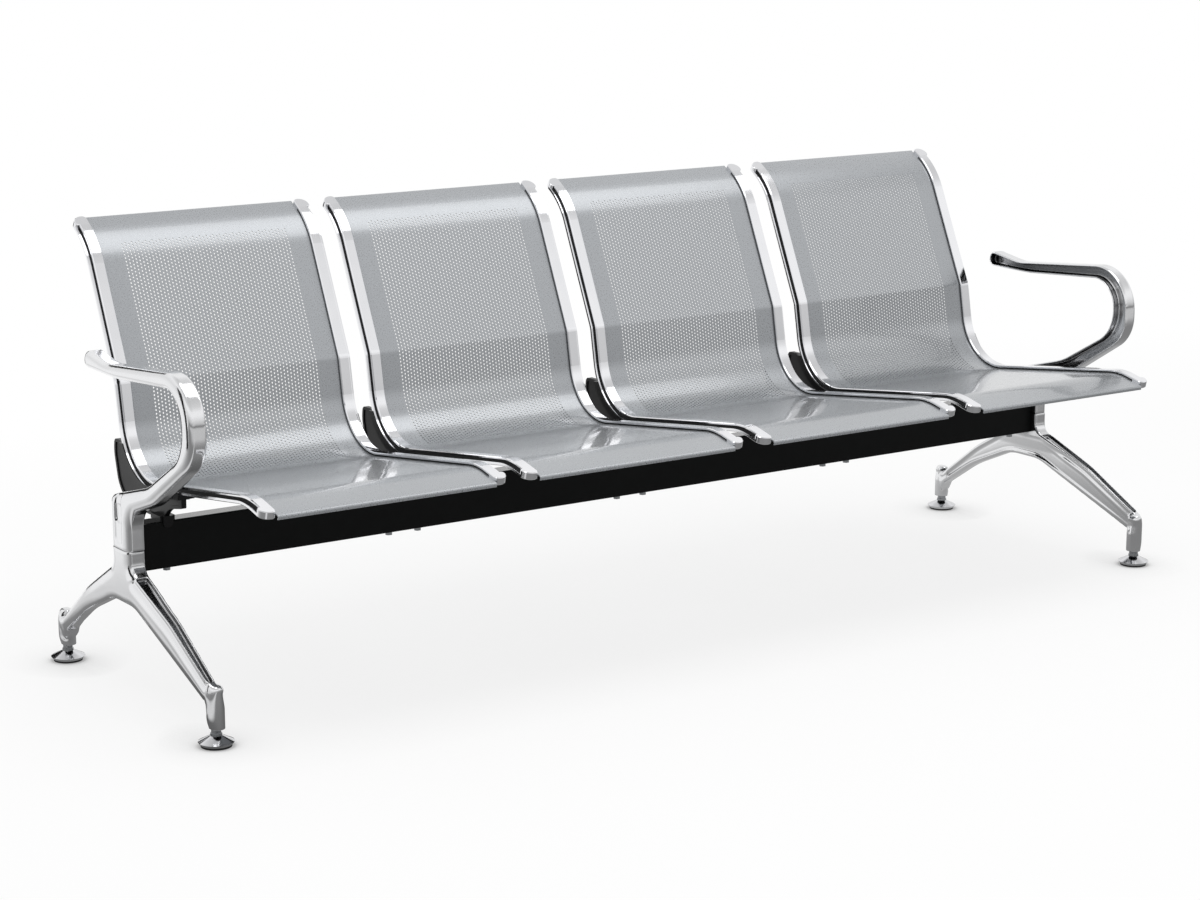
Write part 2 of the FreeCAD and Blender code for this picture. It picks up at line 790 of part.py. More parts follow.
def foot_socket(y, top_z):
    """A round socket with a domed top, and the blind bore for the foot's stem."""
    bottom = Vector(-foot_spacing_x / 2, y, socket_bottom_z)
    solid = rod(socket_diameter, bottom, UP, top_z - socket_bottom_z)
    rim = [edge for edge in solid.Edges if abs(edge.CenterOfMass.z - top_z) < 0.01 and edge.Closed]
    bore = rod(stem_diameter + 2 * stem_bore_clearance, bottom, UP, stem_insertion + stem_bore_spare)
    return solid.makeFillet(socket_top_radius, rim), bore


def beside_front_leg(inset):
    """All that lies past the front leg's tapering inner side, moved into the leg by an inset."""
    far_y = front_foot_y - cutter_overrun
    narrowing = front_leg_taper * (post_front_y - far_y) / (post_front_y - front_foot_y)
    start_x = -casting_inner_x - inset
    corners = [Vector(start_x, post_front_y, 0), Vector(start_x - narrowing, far_y, 0),
               Vector(0, far_y, 0), Vector(0, post_front_y, 0)]
    return Part.Face(Part.makePolygon(corners + corners[:1])).extrude(Vector(0, 0, seam_z))


def left_leg():
    """Inverted Y casting: tapered front leg with a channel, recessed inner side and two sockets."""
    outline = leg_outline()
    channel_path = lengthened(leg_upper_line()[1:], -leg_channel_start, -leg_channel_end)
    channel = ribbon(channel_path, -cutter_overrun, leg_channel_depth,
                     -casting_outer_x + leg_channel_rim, -casting_inner_x).cut(beside_front_leg(leg_channel_rim))
    recess = plate(shifted(outline, leg_recess_rim, closed=True),
                   -casting_inner_x - leg_recess_depth, -casting_inner_x)
    recess = recess.common(box(-casting_outer_x, 0, front_foot_y + socket_diameter,
                               rear_foot_y - socket_diameter, 0, seam_z - leg_recess_drop))
    front, front_bore = foot_socket(front_foot_y, front_socket_top_z)
    rear, rear_bore = foot_socket(rear_foot_y, rear_socket_top_z)
    block, hole = spigot(beam_bottom_z, seam_z - spigot_clearance, end_bolt_places(-1)[0])
    solid = rounded_casting(outline, leg_edge_radius, leg_edge_radius)
    solid = solid.cut([channel, recess, beside_front_leg(0)])
    return solid.fuse([front, rear, block]).removeSplitter().cut([front_bore, rear_bore, hole])


# Armrests

def arm_outline():
    """Side view of an armrest, counterclockwise from the front of its seam."""
    front = post_front_y
    inner_front = front - arm_front_reach + arm_front_thickness
    return [(front, seam_z, 0),
            (post_rear_y, seam_z, 0),
            (post_rear_y, seam_z + arm_neck_rear_rise, arm_neck_rear_radius),
            (front - arm_inner_bend_reach, seam_z + arm_inner_bend_rise, arm_inner_bend_radius),
            (inner_front, seam_z + arm_inner_low_rise, arm_inner_low_radius),
            (inner_front, seam_z + arm_inner_high_rise, arm_inner_high_radius),
            (front + arm_dip_under_depth, seam_z + arm_dip_under_rise, arm_dip_under_radius),
            (front + arm_tip_under_depth, seam_z + arm_tip_under_rise, arm_tip_radius),
            (front + arm_tip_top_depth, seam_z + arm_tip_top_rise, arm_tip_radius),
            (post_rear_y, seam_z + arm_dip_top_rise, arm_dip_top_radius),
            (front - arm_front_reach, seam_z + arm_outer_high_rise, arm_outer_high_radius),
            (front - arm_front_reach, seam_z + arm_outer_low_rise, arm_outer_low_radius),
            (front - arm_outer_bend_reach, seam_z + arm_outer_bend_rise, arm_outer_bend_radius),
            (front, seam_z + arm_neck_front_rise, arm_neck_front_radius)]


def post_recess():
    """A shallow recess with round corners on the outer side of the post."""
    half = post_recess_width / 2
    tall = post_recess_height / 2
    centre_z = seam_z + post_recess_rise
    corners = [(beam_centre_y + a * half, centre_z + b * tall, post_recess_radius)
               for a, b in ((-1, -1), (1, -1), (1, 1), (-1, 1))]
    return plate(corners, -casting_outer_x, -casting_outer_x + post_recess_depth)


def left_armrest():
    """C-shaped casting that stands on the leg, hollow inside along its loop."""
    outline = arm_outline()
    hollow = plate(shifted(outline, arm_recess_rim, closed=True),
                   -casting_inner_x - arm_recess_depth, -casting_inner_x)
    hollow = hollow.cut(box(-casting_outer_x, 0, post_front_y - cutter_overrun, post_rear_y + cutter_overrun,
                            0, seam_z + arm_recess_rise))
    block, hole = spigot(seam_z + spigot_clearance, beam_top_z, end_bolt_places(-1)[1])
    solid = rounded_casting(outline, arm_outer_edge_radius, arm_inner_edge_radius)
    solid = solid.cut([hollow, post_recess()])
    return solid.fuse(block).removeSplitter().cut(hole)


# Levelling feet

def foot_stem(x, y):
    """Threaded rod with a round head that turns inside the cap."""
    bottom = Vector(x, y, base_height)
    shank = rod(stem_diameter, bottom, UP, socket_bottom_z + stem_insertion - base_height)
    return shank.fuse(rod(stem_head_diameter, bottom, UP, stem_head_height)).removeSplitter()


def foot_collar(x, y):
    """Flanged hexagon for the spanner, fixed to the stem just under the socket."""
    height = spanner_hex_height + collar_flange_height
    bottom = Vector(x, y, socket_bottom_z - height)
    collar = prism(6, spanner_hex_across, bottom + UP * collar_flange_height, UP, spanner_hex_height)
    collar = collar.fuse(rod(collar_flange_diameter, bottom, UP, collar_flange_height)).removeSplitter()
    return collar.cut(rod(stem_diameter + 2 * stem_bore_clearance, bottom, UP, height))


def foot_cap(x, y):
    """Conical chromed cap, turned, with a hollow for the stem's head and a seat on the base."""
    bore = stem_diameter / 2 + foot_fit_clearance
    hollow = stem_head_diameter / 2 + foot_fit_clearance
    ceiling = base_height + stem_head_height + foot_fit_clearance
    seat = base_diameter / 2 + foot_fit_clearance
    section = [(bore, ceiling), (hollow, ceiling), (hollow, base_height), (seat, base_height),
               (seat, cap_lower_z), (cap_lower_diameter / 2, cap_lower_z), (cap_diameter / 2, cap_rim_z),
               (cap_top_diameter / 2, cap_top_z), (bore, cap_top_z)]
    corners = [Vector(r, 0, z) for r, z in section]
    cap = Part.Face(Part.makePolygon(corners + corners[:1])).revolve(Vector(0, 0, 0), UP, 360)
    cap.translate(Vector(x, y, 0))
    return cap


def foot_base(x, y):
    """Black pad under the cap that stands on the floor."""
    return rod(base_diameter, Vector(x, y, 0), UP, base_height)


# Write the pieces

def save_seat(number, seat_x, pieces):
    for name, shape in pieces.items():
        save(f"{name}_{number}", shape.translated(Vector(seat_x, 0, 0)))


def save_foot(name, x, y):
    save("foot_stem_" + name, foot_stem(x, y))
    save("foot_collar_" + name, foot_collar(x, y))
    save("foot_cap_" + name, foot_cap(x, y))
    save("foot_base_" + name, foot_base(x, y))


def main():
    os.makedirs("parts", exist_ok=True)
    save("beam", beam())
    save("bracket_bolts", bracket_bolts())
    save("end_bolts", end_bolts())
    for name, casting in (("leg", left_leg()), ("armrest", left_armrest())):
        save(name + "_left", casting)
        save(name + "_right", mirrored(casting))

    pieces = {"seat_pan": seat_pan(), "rail_seals": Part.makeCompound([rail_seal(-1), rail_seal(1)])}
    for word, side in (("left", -1), ("right", 1)):
        pieces["seat_rail_" + word] = seat_rail(side)
        pieces["rail_cover_" + word] = rail_cover(side)
        pieces["seat_bracket_" + word] = seat_bracket(side)
    for number, seat_x in enumerate(seat_centres_x, start=1):
        save_seat(number, seat_x, pieces)
    screws = rail_screws()
    save("rail_screws", [screw.translated(Vector(seat_x, 0, 0)) for seat_x in seat_centres_x for screw in screws])

    for word, x in (("left", -foot_spacing_x / 2), ("right", foot_spacing_x / 2)):
        save_foot("front_" + word, x, front_foot_y)
        save_foot("rear_" + word, x, rear_foot_y)


main()
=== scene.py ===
# %% [markdown]
# A bench for four people from a waiting room: four folded, punched sheets between plated side
# strips, on one black beam, with cast legs and armrests at its ends. The solids come from the
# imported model. This script gives them their finish, punches the four sheets and sets up a studio.

# %% Load the solids
import bpy
import bmesh
import json
import math
import numpy as np
from mathutils import Matrix, Vector
from mathutils.kdtree import KDTree


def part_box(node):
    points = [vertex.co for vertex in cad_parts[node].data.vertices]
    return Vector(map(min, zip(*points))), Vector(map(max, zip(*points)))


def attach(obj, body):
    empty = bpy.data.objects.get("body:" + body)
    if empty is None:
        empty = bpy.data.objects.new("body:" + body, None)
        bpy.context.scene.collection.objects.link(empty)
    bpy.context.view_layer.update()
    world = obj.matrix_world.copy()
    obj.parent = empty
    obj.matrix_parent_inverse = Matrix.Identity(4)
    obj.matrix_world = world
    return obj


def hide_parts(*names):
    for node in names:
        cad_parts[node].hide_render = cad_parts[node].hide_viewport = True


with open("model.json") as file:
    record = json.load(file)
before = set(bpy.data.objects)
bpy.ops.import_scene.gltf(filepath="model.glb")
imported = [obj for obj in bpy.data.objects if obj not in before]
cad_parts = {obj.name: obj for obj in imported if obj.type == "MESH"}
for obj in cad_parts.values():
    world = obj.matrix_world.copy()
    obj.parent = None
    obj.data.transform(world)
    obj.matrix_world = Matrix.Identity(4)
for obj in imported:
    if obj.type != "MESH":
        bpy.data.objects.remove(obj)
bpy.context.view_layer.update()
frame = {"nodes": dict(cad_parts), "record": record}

# %% [markdown]
# Every size below is a real one in millimetres. Blender counts in metres, so one short name
# turns one into the other. Colours are written as a painter would note them, as sRGB hex, and
# turned to the linear values that shaders expect. A pattern's scale is how many of its cells fit
# in a metre, so it is worked out from the real size of one cell.

# %% Units and colours
mm = 0.001


def linear(hex_colour):
    channels = [int(hex_colour[i:i + 2], 16) / 255 for i in (1, 3, 5)]
    return [c / 12.92 if c <= 0.04045 else ((c + 0.055) / 1.055) ** 2.4 for c in channels] + [1.0]


def every(size):
    """The scale at which a pattern has one cell in this size, given in metres."""
    return 1.0 / size


print("middle grey in linear light: %.3f" % linear("#808080")[0])


# %% One way to add a node
def add(tree, kind, links=None, **settings):
    """A node with its settings. links maps an input's name or number to a socket or a value."""
    node = tree.nodes.new(kind)
    for name, value in settings.items():
        setattr(node, name, value)
    for name, value in (links or {}).items():
        socket = node.inputs[name]
        if isinstance(value, bpy.types.NodeSocket):
            tree.links.new(value, socket)
        else:
            socket.default_value = value
    return node


def new_material(name, **surface):
    """A material whose single shader already has the values that are the same all over."""
    material = bpy.data.materials.new(name)
    material.use_nodes = True
    shader = material.node_tree.nodes["Principled BSDF"]
    for key, value in surface.items():
        shader.inputs[key.replace("_", " ")].default_value = value
    print("finish:", name)
    return material, material.node_tree, shader


# %% [markdown]
# Polished chrome is a mirror with a slight blue-grey tint. What tells it from a perfect mirror is
# what polishing leaves: faint lines along the strip and places that are a little duller. The
# lines are about 1.5 mm apart here, which is coarser than real ones, so that they show.

# %% Chrome of the side strips
chrome, tree, shader = new_material("chrome_plate_polished", Metallic=1.0)
place = add(tree, "ShaderNodeTexCoord").outputs["Object"]
stretched = add(tree, "ShaderNodeMapping", {"Vector": place, "Scale": (every(1.54 * mm), 6.0, 6.0)})
lines = add(tree, "ShaderNodeTexNoise", {"Vector": stretched.outputs[0], "Scale": 1.0, "Detail": 2.0})
dull = add(tree, "ShaderNodeTexNoise", {"Vector": place, "Scale": every(56 * mm), "Detail": 3.0})
rough = add(tree, "ShaderNodeMapRange", {"Value": dull.outputs["Fac"], "To Min": 0.05, "To Max": 0.13})
tint = add(tree, "ShaderNodeMix",
           {"Factor": dull.outputs["Fac"], 6: linear("#E8E9EC"), 7: linear("#F2F2F4")},
           data_type="RGBA")
bump = add(tree, "ShaderNodeBump", {"Height": lines.outputs["Fac"], "Strength": 0.04, "Distance": 0.05 * mm})
tree.links.new(rough.outputs[0], shader.inputs["Roughness"])
tree.links.new(tint.outputs[2], shader.inputs["Base Color"])
tree.links.new(bump.outputs[0], shader.inputs["Normal"])

# %% [markdown]
# The legs and armrests are cast, ground by hand and plated. Grinding leaves a soft waviness of
# 20 to 40 mm that bends the reflections, and fine scratches about 1 mm apart in all directions.
# Grooves and inner corners get painted shade: an ambient occlusion node finds such places within
# 30 mm and darkens the base colour there.

# %% Plated castings
casting, tree, shader = new_material("aluminium_casting_polished", Metallic=1.0)
place = add(tree, "ShaderNodeTexCoord").outputs["Object"]
wave = add(tree, "ShaderNodeTexNoise", {"Vector": place, "Scale": every(31.25 * mm), "Detail": 1.0})
scratch = add(tree, "ShaderNodeTexNoise", {"Vector": place, "Scale": every(1.11 * mm), "Detail": 2.0})
dull = add(tree, "ShaderNodeTexNoise", {"Vector": place, "Scale": every(83 * mm), "Detail": 4.0})
rough = add(tree, "ShaderNodeMapRange", {"Value": dull.outputs["Fac"], "To Min": 0.08, "To Max": 0.18})
polish = add(tree, "ShaderNodeMix",
             {"Factor": dull.outputs["Fac"], 6: linear("#E2E3E5"), 7: linear("#EFEFF0")},
             data_type="RGBA")
# Painted shade: the base colour goes almost black where the ambient occlusion node finds a groove or an inner
# corner.
crevice_shade_ao = add(tree, "ShaderNodeAmbientOcclusion", {"Distance": 30 * mm}, samples=16)
painted_shade_mask = add(tree, "ShaderNodeMapRange",
                {"Value": crevice_shade_ao.outputs["AO"], "From Min": 0.42, "From Max": 0.90})
tint = add(tree, "ShaderNodeMix",
           {"Factor": painted_shade_mask.outputs[0], 6: linear("#1C1C1E"), 7: polish.outputs[2]},
           data_type="RGBA")
soft = add(tree, "ShaderNodeBump", {"Height": wave.outputs["Fac"], "Strength": 0.35, "Distance": 0.6 * mm})
fine = add(tree, "ShaderNodeBump", {"Height": scratch.outputs["Fac"], "Strength": 0.05, "Distance": 0.05 * mm,
                                    "Normal": soft.outputs[0]})
tree.links.new(rough.outputs[0], shader.inputs["Roughness"])
tree.links.new(tint.outputs[2], shader.inputs["Base Color"])
tree.links.new(fine.outputs[0], shader.inputs["Normal"])

# %% [markdown]
# The sheets have a silver metallic lacquer under a clear coat: the body scatters light softly and
# sparkles in grains of about 1.5 mm, while the coat mirrors sharply at a low angle. Its orange
# peel, about 4 mm from bump to bump, makes those mirror images tremble.

# %% Silver lacquer of the sheets
lacquer, tree, shader = new_material("steel_sheet_silver_lacquer", Metallic=0.65, Coat_Weight=0.6,
                                     Coat_Roughness=0.06, Coat_IOR=1.5)
place = add(tree, "ShaderNodeTexCoord").outputs["Object"]
flake = add(tree, "ShaderNodeTexVoronoi", {"Vector": place, "Scale": every(1.54 * mm)})
grain = add(tree, "ShaderNodeMapRange", {"Value": flake.outputs["Color"], "To Min": 0.24, "To Max": 0.38})
peel = add(tree, "ShaderNodeTexNoise", {"Vector": place, "Scale": every(4.0 * mm), "Detail": 1.0})
tint = add(tree, "ShaderNodeMix",
           {"Factor": flake.outputs["Distance"], 6: linear("#A0A3A7"), 7: linear("#ACAFB2")},
           data_type="RGBA")
bump = add(tree, "ShaderNodeBump", {"Height": peel.outputs["Fac"], "Strength": 0.12, "Distance": 0.05 * mm})
tree.links.new(grain.outputs[0], shader.inputs["Roughness"])
tree.links.new(tint.outputs[2], shader.inputs["Base Color"])
tree.links.new(bump.outputs[0], shader.inputs["Normal"])
tree.links.new(bump.outputs[0], shader.inputs["Coat Normal"])

# %% [markdown]
# The beam is a steel tube in black powder coat. It is baked lying on its front, so the powder flows
# out to a smooth, glossy skin only on top, which mirrors the room at a low angle, and stays dull
# elsewhere. The brackets have the same black as a satin, fine-textured coat.

# %% Black coats
beam_low, beam_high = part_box("beam")
beam_black, tree, shader = new_material("powder_coat_black_flowed", Specular_IOR_Level=0.12,
                                        Coat_Roughness=0.05, Coat_IOR=2.2)
place = add(tree, "ShaderNodeTexCoord").outputs["Object"]
height = add(tree, "ShaderNodeSeparateXYZ", {0: place}).outputs[2]
on_top = add(tree, "ShaderNodeMapRange", {"Value": height, "From Min": beam_high[2] - 1.0 * mm,
                                          "From Max": beam_high[2] - 0.3 * mm})
peel = add(tree, "ShaderNodeTexNoise", {"Vector": place, "Scale": every(4.17 * mm), "Detail": 1.0})
dust = add(tree, "ShaderNodeTexNoise", {"Vector": place, "Scale": every(25 * mm), "Detail": 3.0})
tint = add(tree, "ShaderNodeMix",
           {"Factor": dust.outputs["Fac"], 6: linear("#0A0B0B"), 7: linear("#111212")},
           data_type="RGBA")
rough = add(tree, "ShaderNodeMapRange", {"Value": dust.outputs["Fac"], "To Min": 0.34, "To Max": 0.46})
bump = add(tree, "ShaderNodeBump", {"Height": peel.outputs["Fac"], "Strength": 0.08, "Distance": 0.05 * mm})
tree.links.new(on_top.outputs[0], shader.inputs["Coat Weight"])
tree.links.new(tint.outputs[2], shader.inputs["Base Color"])
tree.links.new(rough.outputs[0], shader.inputs["Roughness"])
tree.links.new(bump.outputs[0], shader.inputs["Normal"])

bracket_black, tree, shader = new_material("powder_coat_satin_black", Specular_IOR_Level=0.2)
place = add(tree, "ShaderNodeTexCoord").outputs["Object"]
grit = add(tree, "ShaderNodeTexNoise", {"Vector": place, "Scale": every(1.11 * mm), "Detail": 2.0})
shade = add(tree, "ShaderNodeTexNoise", {"Vector": place, "Scale": every(40 * mm), "Detail": 3.0})
tint = add(tree, "ShaderNodeMix",
           {"Factor": shade.outputs["Fac"], 6: linear("#0C0C0D"), 7: linear("#161617")},
           data_type="RGBA")
rough = add(tree, "ShaderNodeMapRange", {"Value": shade.outputs["Fac"], "To Min": 0.26, "To Max": 0.40})
bump = add(tree, "ShaderNodeBump", {"Height": grit.outputs["Fac"], "Strength": 0.2, "Distance": 0.08 * mm})
tree.links.new(tint.outputs[2], shader.inputs["Base Color"])
tree.links.new(rough.outputs[0], shader.inputs["Roughness"])
tree.links.new(bump.outputs[0], shader.inputs["Normal"])

# %% [markdown]
# The seals are extruded rubber, dull and almost black, with a grain of about 1 mm. The pads of the
# feet are moulded nylon, a little smoother, with the broad mottling that such moulding leaves.

# %% Rubber and nylon
rubber, tree, shader = new_material("rubber_extruded_black", Specular_IOR_Level=0.3)
place = add(tree, "ShaderNodeTexCoord").outputs["Object"]
grain = add(tree, "ShaderNodeTexNoise", {"Vector": place, "Scale": every(1.0 * mm), "Detail": 2.0})
tint = add(tree, "ShaderNodeMix",
           {"Factor": grain.outputs["Fac"], 6: linear("#0A0A0A"), 7: linear("#171717")},
           data_type="RGBA")
rough = add(tree, "ShaderNodeMapRange", {"Value": grain.outputs["Fac"], "To Min": 0.6, "To Max": 0.8})
bump = add(tree, "ShaderNodeBump", {"Height": grain.outputs["Fac"], "Strength": 0.3, "Distance": 0.05 * mm})
tree.links.new(tint.outputs[2], shader.inputs["Base Color"])
tree.links.new(rough.outputs[0], shader.inputs["Roughness"])
tree.links.new(bump.outputs[0], shader.inputs["Normal"])

nylon, tree, shader = new_material("nylon_moulded_black")
place = add(tree, "ShaderNodeTexCoord").outputs["Object"]
mottle = add(tree, "ShaderNodeTexNoise", {"Vector": place, "Scale": every(8.33 * mm), "Detail": 3.0})
tint = add(tree, "ShaderNodeMix",
           {"Factor": mottle.outputs["Fac"], 6: linear("#101010"), 7: linear("#1D1D1E")},
           data_type="RGBA")
rough = add(tree, "ShaderNodeMapRange", {"Value": mottle.outputs["Fac"], "To Min": 0.4, "To Max": 0.6})
tree.links.new(tint.outputs[2], shader.inputs["Base Color"])
tree.links.new(rough.outputs[0], shader.inputs["Roughness"])

# %% [markdown]
# Bolts and foot stems are zinc plated: a grey metal with a cloudy, faintly bluish film. The caps of
# the feet were turned on a lathe, so their polish has rings, here 1 mm apart in height.

# %% Zinc and turned chrome
zinc, tree, shader = new_material("steel_zinc_plated", Metallic=1.0)
place = add(tree, "ShaderNodeTexCoord").outputs["Object"]
cloud = add(tree, "ShaderNodeTexNoise", {"Vector": place, "Scale": every(4.55 * mm), "Detail": 3.0})
tint = add(tree, "ShaderNodeMix",
           {"Factor": cloud.outputs["Fac"], 6: linear("#9EA2A6"), 7: linear("#C2C3C4")},
           data_type="RGBA")
rough = add(tree, "ShaderNodeMapRange", {"Value": cloud.outputs["Fac"], "To Min": 0.22, "To Max": 0.42})
tree.links.new(tint.outputs[2], shader.inputs["Base Color"])
tree.links.new(rough.outputs[0], shader.inputs["Roughness"])

turned, tree, shader = new_material("chrome_plate_turned", Metallic=1.0)
place = add(tree, "ShaderNodeTexCoord").outputs["Object"]
flat_rings = add(tree, "ShaderNodeMapping", {"Vector": place, "Scale": (0.0, 0.0, every(1.0 * mm))})
rings = add(tree, "ShaderNodeTexNoise", {"Vector": flat_rings.outputs[0], "Scale": 1.0, "Detail": 1.0})
cloud = add(tree, "ShaderNodeTexNoise", {"Vector": place, "Scale": every(11.1 * mm), "Detail": 2.0})
tint = add(tree, "ShaderNodeMix",
           {"Factor": cloud.outputs["Fac"], 6: linear("#CDCED1"), 7: linear("#E4E4E6")},
           data_type="RGBA")
rough = add(tree, "ShaderNodeMapRange", {"Value": cloud.outputs["Fac"], "To Min": 0.07, "To Max": 0.16})
bump = add(tree, "ShaderNodeBump", {"Height": rings.outputs["Fac"], "Strength": 0.15, "Distance": 0.05 * mm})
tree.links.new(tint.outputs[2], shader.inputs["Base Color"])
tree.links.new(rough.outputs[0], shader.inputs["Roughness"])
tree.links.new(bump.outputs[0], shader.inputs["Normal"])

# %% [markdown]
# The pieces that need no new shape keep their solids and only get their finish. The record gives
# each node a material slot, so one table from slot to material covers them all.

# %% Give every solid its finish
finish_of_slot = {"chrome": chrome, "polished_casting": casting, "silver_paint": lacquer,
                  "black_paint": beam_black, "black_casting": bracket_black, "black_rubber": rubber,
                  "foot_black": nylon, "zinc_steel": zinc, "foot_steel": zinc, "foot_chrome": turned}
for part in frame["record"]["subparts"]:
    node = frame["nodes"][part["node"]]
    for slot in node.material_slots:
        slot.material = finish_of_slot[part["material_slot"]]

# %% [markdown]
# Each seat is one steel sheet, 2 mm thick. In the factory it is cut flat, punched, and then bent
# along its profile, and the same order works well here. The profile is a chain of straights with
# rounded corners: the short drop of the front hem, the lip, the seat, two lengths of back, the
# curl at the top and the small hem behind it. A poly curve holds the corners, and its point
# radius holds the bend radius of each, which Geometry Nodes later turn into arcs.

# %% The seat's profile
front_edge = (-387.99, 424.0)
straights = [(75.0, 13.4), (487.0, -7.5), (191.0, 79.6), (278.0, 65.1), (75.0, 32.0)]
bend_radii = [150.0, 122.0, 30.0, 150.0]
edge_bend = 4.0
front_hem = 8.0
top_hem = 8.0


def along(start, length, angle):
    heading = math.radians(angle)
    return (start[0] + length * math.cos(heading), start[1] + length * math.sin(heading))


corners = [along(front_edge, front_hem, straights[0][1] - 90), front_edge]
for length, angle in straights:
    corners.append(along(corners[-1], length, angle))
corners.append(along(corners[-1], top_hem, straights[-1][1] - 90))
radii = [0, edge_bend] + bend_radii + [edge_bend, 0]

curve = bpy.data.curves.new("seat_profile", "CURVE")
curve.dimensions = "3D"
spline = curve.splines.new("POLY")
spline.points.add(len(corners) - 1)
for point, (y, z), radius in zip(spline.points, corners, radii):
    point.co = (0, y * mm, z * mm, 1)
    point.radius = radius * mm
profile = bpy.data.objects.new("seat_profile", curve)
bpy.context.collection.objects.link(profile)


# %% Where each bend lies on the flat sheet
def arc_and_reach(i):
    before, here, after = corners[i - 1], corners[i], corners[i + 1]
    come = math.atan2(here[1] - before[1], here[0] - before[0])
    go = math.atan2(after[1] - here[1], after[0] - here[0])
    turn = abs((go - come + math.pi) % (2 * math.pi) - math.pi)
    return radii[i] * turn, radii[i] * math.tan(turn / 2)


bends = []
travelled = 0.0
spare = 0.0
for i in range(1, len(corners) - 1):
    arc, reach = arc_and_reach(i)
    travelled += math.dist(corners[i - 1], corners[i]) - spare - reach
    bends.append((travelled, travelled + arc))
    travelled += arc
    spare = reach
flat_length = travelled + math.dist(corners[-2], corners[-1]) - spare
print("flat length of a sheet: %.1f mm" % flat_length)
print("bends from and to:", [(round(a, 1), round(b, 1)) for a, b in bends])

# %% [markdown]
# The punched field has 50 columns of round holes, 7.15 mm apart, and each second column is moved
# by half a step. Cut into cells of one hole each, all cells are alike: six corners outside and a
# hole of six sides inside. Everything else is plain sheet, laid out here as a flat blank with a
# ragged gap where the cells will go. Its rows are half a step long beside the field, so that all
# corners meet, and close together where the sheet is going to be bent.

# %% Sizes of the blank and its punched field
half_sheet = 223.0
flange_end = 242.0
flange_start_s = 36.3
thickness = 2.0
step = 7.15
columns = 50
rows = 70
hole = 4.0
row_on_straight, row_in_bend, row_in_hem = 60.0, 5.0, 1.2
weld = 0.02
near = 0.01
field_half = columns * step / 2
field_start_s = 484.3
field_end_s = field_start_s + (rows + 0.5) * step
print("punched field from %.0f to %.0f mm" % (field_start_s, field_end_s))


def steps_between(start, end, most):
    count = max(1, math.ceil((end - start) / most - 1e-6))
    return [start + (end - start) * i / count for i in range(count + 1)]


def plain_rows(start, end):
    """Rows of plain sheet: far apart on a straight, close in a bend, closest in a hem's bend."""
    marks = [s for bend in bends for s in bend] + [flange_start_s, flat_length - flange_start_s]
    stops = sorted({start, end} | {s for s in marks if start < s < end})
    result = [start]
    for a, b in zip(stops, stops[1:]):
        inside = [k for k, bend in enumerate(bends) if bend[0] - near <= a and b <= bend[1] + near]
        most = row_on_straight
        if inside:
            most = row_in_hem if inside[0] in (0, len(bends) - 1) else row_in_bend
        result += steps_between(a, b, most)[1:]
    return result


front_rows = plain_rows(0.0, field_start_s)
field_rows = [field_start_s + step / 2 * i for i in range(2 * rows + 2)]
top_rows = plain_rows(field_end_s, flat_length)
all_rows = front_rows + field_rows[1:] + top_rows[1:]
columns_x = [-field_half + step * i for i in range(columns + 1)]


# %% The blank
def patch(flat, xs, rows_s):
    """A plain patch of the sheet, as a grid of quads."""
    grid = [[flat.verts.new((x * mm, s * mm, 0)) for x in xs] for s in rows_s]
    for low, high in zip(grid, grid[1:]):
        for i in range(len(xs) - 1):
            flat.faces.new((low[i], low[i + 1], high[i + 1], high[i]))


flat = bmesh.new()
for side in (-1, 1):
    patch(flat, sorted([side * half_sheet, side * field_half]), all_rows)
    flange_rows = [s for s in all_rows if flange_start_s - near < s < flat_length - flange_start_s + near]
    patch(flat, sorted([side * half_sheet, side * flange_end]), flange_rows)
patch(flat, columns_x, front_rows)
patch(flat, columns_x, top_rows)
for i in range(columns):
    edge = field_rows[:2] if i % 2 else field_rows[-2:]
    patch(flat, columns_x[i:i + 2], edge)
bmesh.ops.remove_doubles(flat, verts=flat.verts, dist=weld * mm)
bmesh.ops.dissolve_degenerate(flat, edges=flat.edges, dist=weld * mm)
blank = bpy.data.meshes.new("blank")
flat.to_mesh(blank)
flat.free()
print("blank:", len(blank.polygons), "plain faces")

# %% [markdown]
# Geometry Nodes do the punching and the bending. A circle of six points is widened to the cell's
# border, which makes the ring of sheet round one hole, and instances of it fill the field. Joined
# to the blank and merged, the sheet gets its thickness while it is still flat. Then each
# point's distance along the sheet is looked up on the rounded profile curve: the curve's place
# carries the point, and the curve's normal carries its depth.

# %% The tree that punches and bends
tree = bpy.data.node_groups.new("punch_and_bend", "GeometryNodeTree")
sockets = [("Blank", "NodeSocketGeometry"), ("Profile", "NodeSocketObject"), ("Step", "NodeSocketFloat"),
           ("Hole", "NodeSocketFloat"), ("Columns", "NodeSocketInt"), ("Rows", "NodeSocketInt"),
           ("Field Start", "NodeSocketFloat"), ("Thickness", "NodeSocketFloat"),
           ("Finish", "NodeSocketMaterial")]
for name, kind in sockets:
    tree.interface.new_socket(name=name, in_out="INPUT", socket_type=kind)
tree.interface.new_socket(name="Sheet", in_out="OUTPUT", socket_type="NodeSocketGeometry")
given = add(tree, "NodeGroupInput").outputs

half_step = add(tree, "ShaderNodeMath", {0: given["Step"], 1: 0.5}, operation="MULTIPLY").outputs[0]
hole_radius = add(tree, "ShaderNodeMath", {0: given["Hole"], 1: 0.5}, operation="MULTIPLY").outputs[0]
here = add(tree, "GeometryNodeInputPosition").outputs[0]
here_x, here_s, here_depth = add(tree, "ShaderNodeSeparateXYZ", {0: here}).outputs

